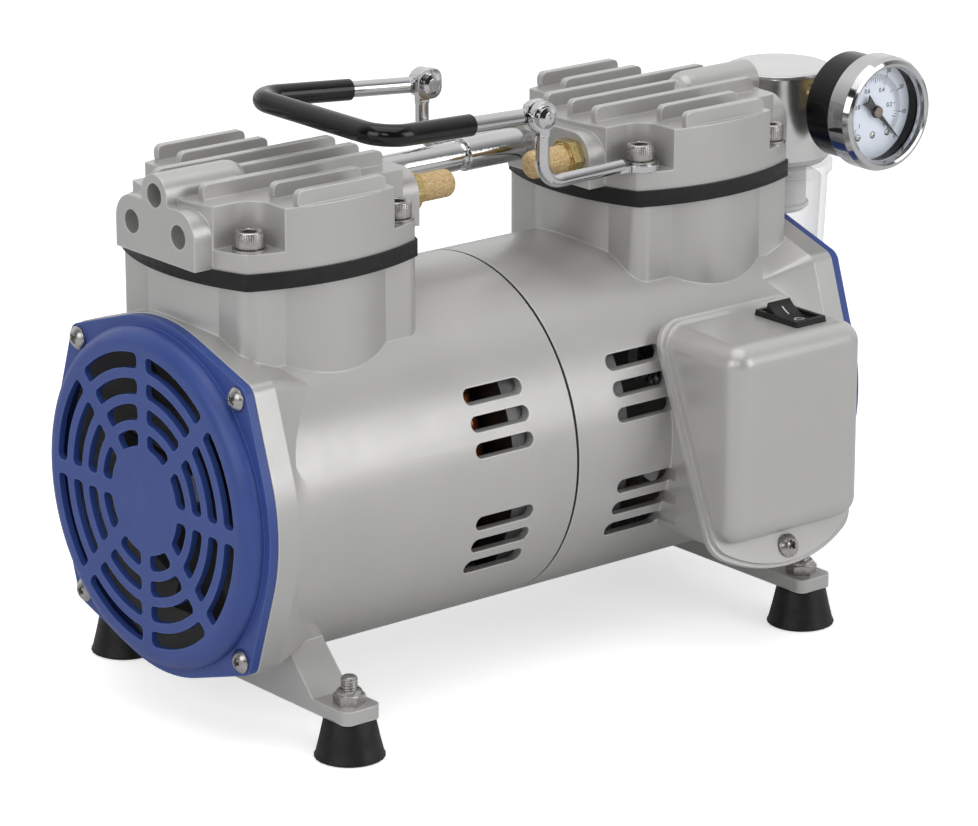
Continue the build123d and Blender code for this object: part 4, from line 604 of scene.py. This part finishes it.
def printed(spots):
    """Flat ink patches on z = 0: each patch is a list of corners."""
    shape = bmesh.new()
    for corners in spots:
        low = [shape.verts.new((x, y, 0.01 * MM)) for x, y in corners]
        high = [shape.verts.new((x, y, INK)) for x, y in corners]
        shape.faces.new(low[::-1])
        shape.faces.new(high)
        for k in range(len(low)):
            j = (k + 1) % len(low)
            shape.faces.new((low[k], low[j], high[j], high[k]))
    return shape


def tick(angle, inner, outer, width):
    """Corners of a radial line."""
    out = Vector((cos(angle), sin(angle)))
    side = Vector((-out.y, out.x)) * width / 2
    return [out * inner - side, out * outer - side, out * outer + side, out * inner + side]


def reading(value, full):
    """Angle of a value on a scale."""
    return radians(ZERO + SWEEP * value / full)


def numerals(texts):
    """Numbers printed on z = 0: each is (text, x, y, size)."""
    shape = bmesh.new()
    for text, x, y, size in texts:
        curve = bpy.data.curves.new("number", "FONT")
        curve.body = text
        curve.size = size
        curve.align_x = "CENTER"
        curve.align_y = "CENTER"
        curve.extrude = INK / 2
        curve.offset = BOLD
        carrier = bpy.data.objects.new("number", curve)
        bpy.context.scene.collection.objects.link(carrier)
        bpy.context.view_layer.update()
        mesh = bpy.data.meshes.new_from_object(carrier)
        start = len(shape.verts)
        shape.from_mesh(mesh)
        shape.verts.ensure_lookup_table()
        bmesh.ops.translate(shape, vec=(x, y, INK / 2), verts=shape.verts[start:])
        bpy.data.objects.remove(carrier)
        bpy.data.meshes.remove(mesh)
    return shape


gauge_black = finish("gauge_enamel", (0.003, 0.003, 0.003), (0.005, 0.005, 0.005), 0.01, (0.14, 0.22), 0.001,
                     0.00001, rounding=0.5, Specular_IOR_Level=0.3)
dial_white = finish("dial_white", (0.68, 0.72, 0.80), (0.70, 0.74, 0.81), 0.02, (0.4, 0.5), 0.0004, 0.000003)
ink_black = finish("dial_ink", (0.02, 0.02, 0.022), (0.03, 0.03, 0.03), 0.002, (0.4, 0.5), 0.0004, 0.000003)
ink_blue = finish("dial_ink_blue", (0.03, 0.045, 0.10), (0.035, 0.05, 0.11), 0.002, (0.4, 0.5), 0.0004,
                  0.000003)
lens_glass = finish("gauge_lens", (1, 1, 1), (0.98, 0.99, 1.0), 0.03, (0.0, 0.02), 0.01, 0.000001,
                    rounding=0.1, IOR=1.12, Transmission_Weight=1.0)
dress(gauge_black, "gauge_case")
dress(chrome, "gauge_bezel")
dress(dial_white, "gauge_dial")
dress(lens_glass, "gauge_lens")
dress(ink_black, "gauge_pointer")

outer_ticks = []
for value in range(0, OUTER_FULL + 1):
    tens = value % 10 == 0
    outer_ticks.append(tick(reading(value, OUTER_FULL), OUTER_TICKS_R, (15.0 if tens else 14.2) * MM,
                            (0.42 if tens else 0.26) * MM))
inner_ticks = []
for fiftieth in range(0, 52):
    tenths = fiftieth % 5 == 0
    inner_ticks.append(tick(reading(fiftieth / 50, INNER_FULL), (10.6 if tenths else 11.3) * MM,
                            INNER_TICKS_R, (0.34 if tenths else 0.22) * MM))
arc = [radians(ZERO + SWEEP * k / 90) for k in range(91)]
circle_line = []
for first, last in zip(arc, arc[1:]):
    corners = ((first, LINE_IN), (last, LINE_IN), (last, LINE_OUT), (first, LINE_OUT))
    circle_line.append([Vector((cos(a), sin(a))) * r for a, r in corners])
piece("dial_scale_outer", printed(outer_ticks), ink_black, "frame", [ON_DIAL])
piece("dial_scale_inner", printed(inner_ticks + circle_line), ink_blue, "frame", [ON_DIAL])
outer_numbers = []
for value in range(0, 71, 10):
    a = reading(value, OUTER_FULL)
    outer_numbers.append((str(value), OUTER_NUMBERS_R * cos(a), OUTER_NUMBERS_R * sin(a), 2.3 * MM))
inner_numbers = []
for text in ("0", "0.2", "0.4", "0.6", "0.8", "1"):
    a = reading(float(text), INNER_FULL)
    inner_numbers.append((text, INNER_NUMBERS_R * cos(a), INNER_NUMBERS_R * sin(a), 2.4 * MM))
piece("dial_numbers", numerals(outer_numbers), ink_black, "frame", [ON_DIAL])
piece("dial_numbers_inner", numerals(inner_numbers), ink_blue, "frame", [ON_DIAL])
dial_screws = [ON_DIAL @ Matrix.Translation((x * MM, -DIAL_SCREWS_DOWN, 0)) @ Matrix.Rotation(x, 4, "Z")
               for x in (-DIAL_SCREWS_APART, 0, DIAL_SCREWS_APART)]
piece("dial_screws", pan_head(1.35 * MM, 0.8 * MM), stainless, "frame", dial_screws, 30)

POINTER_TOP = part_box("gauge_pointer")[0].y
hub = turned([(0, 0.2 * MM), (0, 2.1 * MM), (0.35 * MM, 2.1 * MM), (0.5 * MM, 1.9 * MM), (0.5 * MM, 0.7 * MM),
              (0.3 * MM, 0.6 * MM), (0.3 * MM, 0.05 * MM)], 64)
hub_metal = finish("pointer_hub", (0.16, 0.13, 0.105), (0.22, 0.18, 0.15), 0.001, (0.3, 0.4), 0.0002,
                   0.000004, metal=0.9, rounding=0.1)
piece("pointer_hub", hub, hub_metal, "pointer",
      [seat((CENTRE.x, POINTER_TOP, CENTRE.z), (0, -1, 0))], 30)


# ---- marks on the switch ----------------------------------------------------------------------------
# The rocker carries the usual line for on and ring for off, hot-stamped in white on its two halves. At
# rest the half with the ring is pressed in.
MARK = 0.06 * MM
MARK_APART = 3.7 * MM
RING_OUT = 1.95 * MM
RING_IN = 1.5 * MM
LINE_HALF_L = 1.85 * MM
LINE_HALF_W = 0.24 * MM


def stamped(outlines, target):
    """Thin marks laid on the top of a CAD node: each is a closed strip of (outer, inner) points."""
    skin = BVHTree.FromPolygons([v.co for v in nodes[target].data.vertices],
                                [p.vertices for p in nodes[target].data.polygons])
    shape = bmesh.new()
    for strip in outlines:
        rows = []
        for pair in strip:
            row = []
            for x, y in pair:
                spot = skin.ray_cast(Vector((x, y, 1.0)), Vector((0, 0, -1)))[0]
                row += [shape.verts.new(spot + Vector((0, 0, lift))) for lift in (-MARK, MARK)]
            rows.append(row)
        for k, near in enumerate(rows):
            far = rows[(k + 1) % len(rows)]
            for i, j in ((0, 1), (1, 3), (3, 2), (2, 0)):
                shape.faces.new((near[i], near[j], far[j], far[i]))
    return shape


def ring_strip(centre, outer, inner, steps=48):
    """Closed strip of a ring."""
    turns = [2 * pi * k / steps for k in range(steps)]
    return [[(centre.x + r * cos(a), centre.y + r * sin(a)) for r in (outer, inner)] for a in turns]


stamp_white = finish("stamp_white", (0.62, 0.62, 0.60), (0.72, 0.72, 0.70), 0.001, (0.4, 0.5), 0.0002,
                     0.000002, rounding=0.05)
rocker_low, rocker_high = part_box("switch_rocker")
rocker_middle = (rocker_low + rocker_high) / 2
ring_centre = rocker_middle - Vector((0, MARK_APART, 0))
line_y = [rocker_middle.y + MARK_APART + LINE_HALF_L * (k - 6) / 6 for k in range(13)]
line_strip = [[(rocker_middle.x + LINE_HALF_W, y), (rocker_middle.x, y)] for y in line_y]
line_strip += [[(rocker_middle.x - LINE_HALF_W, y), (rocker_middle.x, y)] for y in reversed(line_y)]
piece("switch_marks", stamped([ring_strip(ring_centre, RING_OUT, RING_IN), line_strip], "switch_rocker"),
      stamp_white, "rocker")


# ---- studio -----------------------------------------------------------------------------------------
# A white sweep under soft lamps: one overhead, one on each side, and a small one beside the camera. Dark
# flags round the set keep black pieces black and give bright metal something to mirror. The camera stands
# well back with a long lens, a little above the machine and towards its front guard.
AZIMUTH = -39.256
ELEVATION = 17.536
DISTANCE = 1.6758
LENS = 166.3
FLOOR_SIZE = 6.0
PAPER = (0.86, 0.86, 0.86)
SHADED_PAPER = (0.72, 0.72, 0.72)
FLAG = 0.035
AMBIENT = 0.48
AIM_ALONG = 11.33 * MM
AIM_HEIGHT = 85.14 * MM

seam_low, seam_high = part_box("seam_gasket")
shaft_low, shaft_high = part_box("motor_shaft")
AIM = Vector(((seam_low.x + seam_high.x) / 2 + AIM_ALONG, (shaft_low.y + shaft_high.y) / 2, AIM_HEIGHT))


def soft_lamp(name, place, target, size, power):
    """Square lamp that looks at a target."""
    lamp = bpy.data.lights.new(name, "AREA")
    lamp.energy = power
    lamp.size = size
    made = bpy.data.objects.new(name, lamp)
    made.location = place
    made.rotation_mode = "QUATERNION"
    made.rotation_quaternion = (Vector(target) - Vector(place)).to_track_quat("-Z", "Y")
    bpy.context.scene.collection.objects.link(made)


def rays(tree, *kinds):
    """1 for rays of these kinds and 0 for all others."""
    path = add(tree, "LightPath")
    share = path.outputs[kinds[0]]
    for kind in kinds[1:]:
        share = add(tree, "Math", {0: share, 1: path.outputs[kind]}, operation="MAXIMUM").outputs[0]
    return share


def between(tree, share, first, second):
    """A number between two numbers."""
    return add(tree, "Mix", {0: share, 2: first, 3: second}).outputs[0]


azimuth, elevation = radians(AZIMUTH), radians(ELEVATION)
back = Vector((sin(azimuth) * cos(elevation), -cos(azimuth) * cos(elevation), sin(elevation)))
lens = bpy.data.cameras.new("camera")
lens.lens = LENS
lens.sensor_width = 36.0
lens.clip_end = 50.0
camera = bpy.data.objects.new("camera", lens)
camera.location = AIM + back * DISTANCE
camera.rotation_mode = "QUATERNION"
camera.rotation_quaternion = (-back).to_track_quat("-Z", "Y")
bpy.context.scene.collection.objects.link(camera)
bpy.context.scene.camera = camera

floor_mesh = bmesh.new()
bmesh.ops.create_grid(floor_mesh, x_segments=1, y_segments=1, size=FLOOR_SIZE)
floor_data = bpy.data.meshes.new("floor")
floor_mesh.to_mesh(floor_data)
floor_mesh.free()
floor = bpy.data.objects.new("floor", floor_data)
bpy.context.scene.collection.objects.link(floor)
paper = bpy.data.materials.new("white_paper")
paper.use_nodes = True
paper_tree = paper.node_tree
paper_shader = paper_tree.nodes["Principled BSDF"]
in_view = rays(paper_tree, "Is Camera Ray", "Is Transmission Ray")
paper_tree.links.new(tinted(paper_tree, SHADED_PAPER, PAPER, in_view), paper_shader.inputs["Base Color"])
paper_shader.inputs["Roughness"].default_value = 0.9
paper_shader.inputs["Specular IOR Level"].default_value = 0.1
paper_shader.inputs["Emission Color"].default_value = (1, 1, 1, 1)
paper_tree.links.new(between(paper_tree, in_view, 0.0, 0.55), paper_shader.inputs["Emission Strength"])
floor_data.materials.append(paper)

world = bpy.data.worlds.new("studio")
world.use_nodes = True
bpy.context.scene.world = world
sky = world.node_tree
way = add(sky, "TexCoord").outputs["Generated"]
away = add(sky, "VectorMath", {0: way, 1: (-sin(radians(AZIMUTH)), cos(radians(AZIMUTH)), 0.25)},
           operation="DOT_PRODUCT").outputs["Value"]
mirrored = add(sky, "MapRange", {"Value": away, "From Min": -0.15, "From Max": 0.55, "To Min": FLAG,
                                 "To Max": 0.95})
dim = between(sky, rays(sky, "Is Glossy Ray"), AMBIENT, mirrored.outputs[0])
level = between(sky, rays(sky, "Is Camera Ray", "Is Transmission Ray"), dim, 1.0)
sky.nodes["Background"].inputs["Color"].default_value = (1, 1, 1, 1)
sky.links.new(level, sky.nodes["Background"].inputs["Strength"])

soft_lamp("overhead", (-0.2, -0.2, 1.5), (0, 0, 0.1), 1.4, 9)
soft_lamp("right_of_camera", (0.7, -1.6, 0.7), (0, 0, 0.1), 1.0, 9)
soft_lamp("left_of_camera", (-1.8, -0.3, 0.8), (0, 0, 0.1), 1.0, 8)
soft_lamp("beside_camera", (-1.35, -1.25, 0.95), (0, 0, 0.1), 0.45, 2.6)

bpy.context.scene.view_settings.view_transform = "Standard"
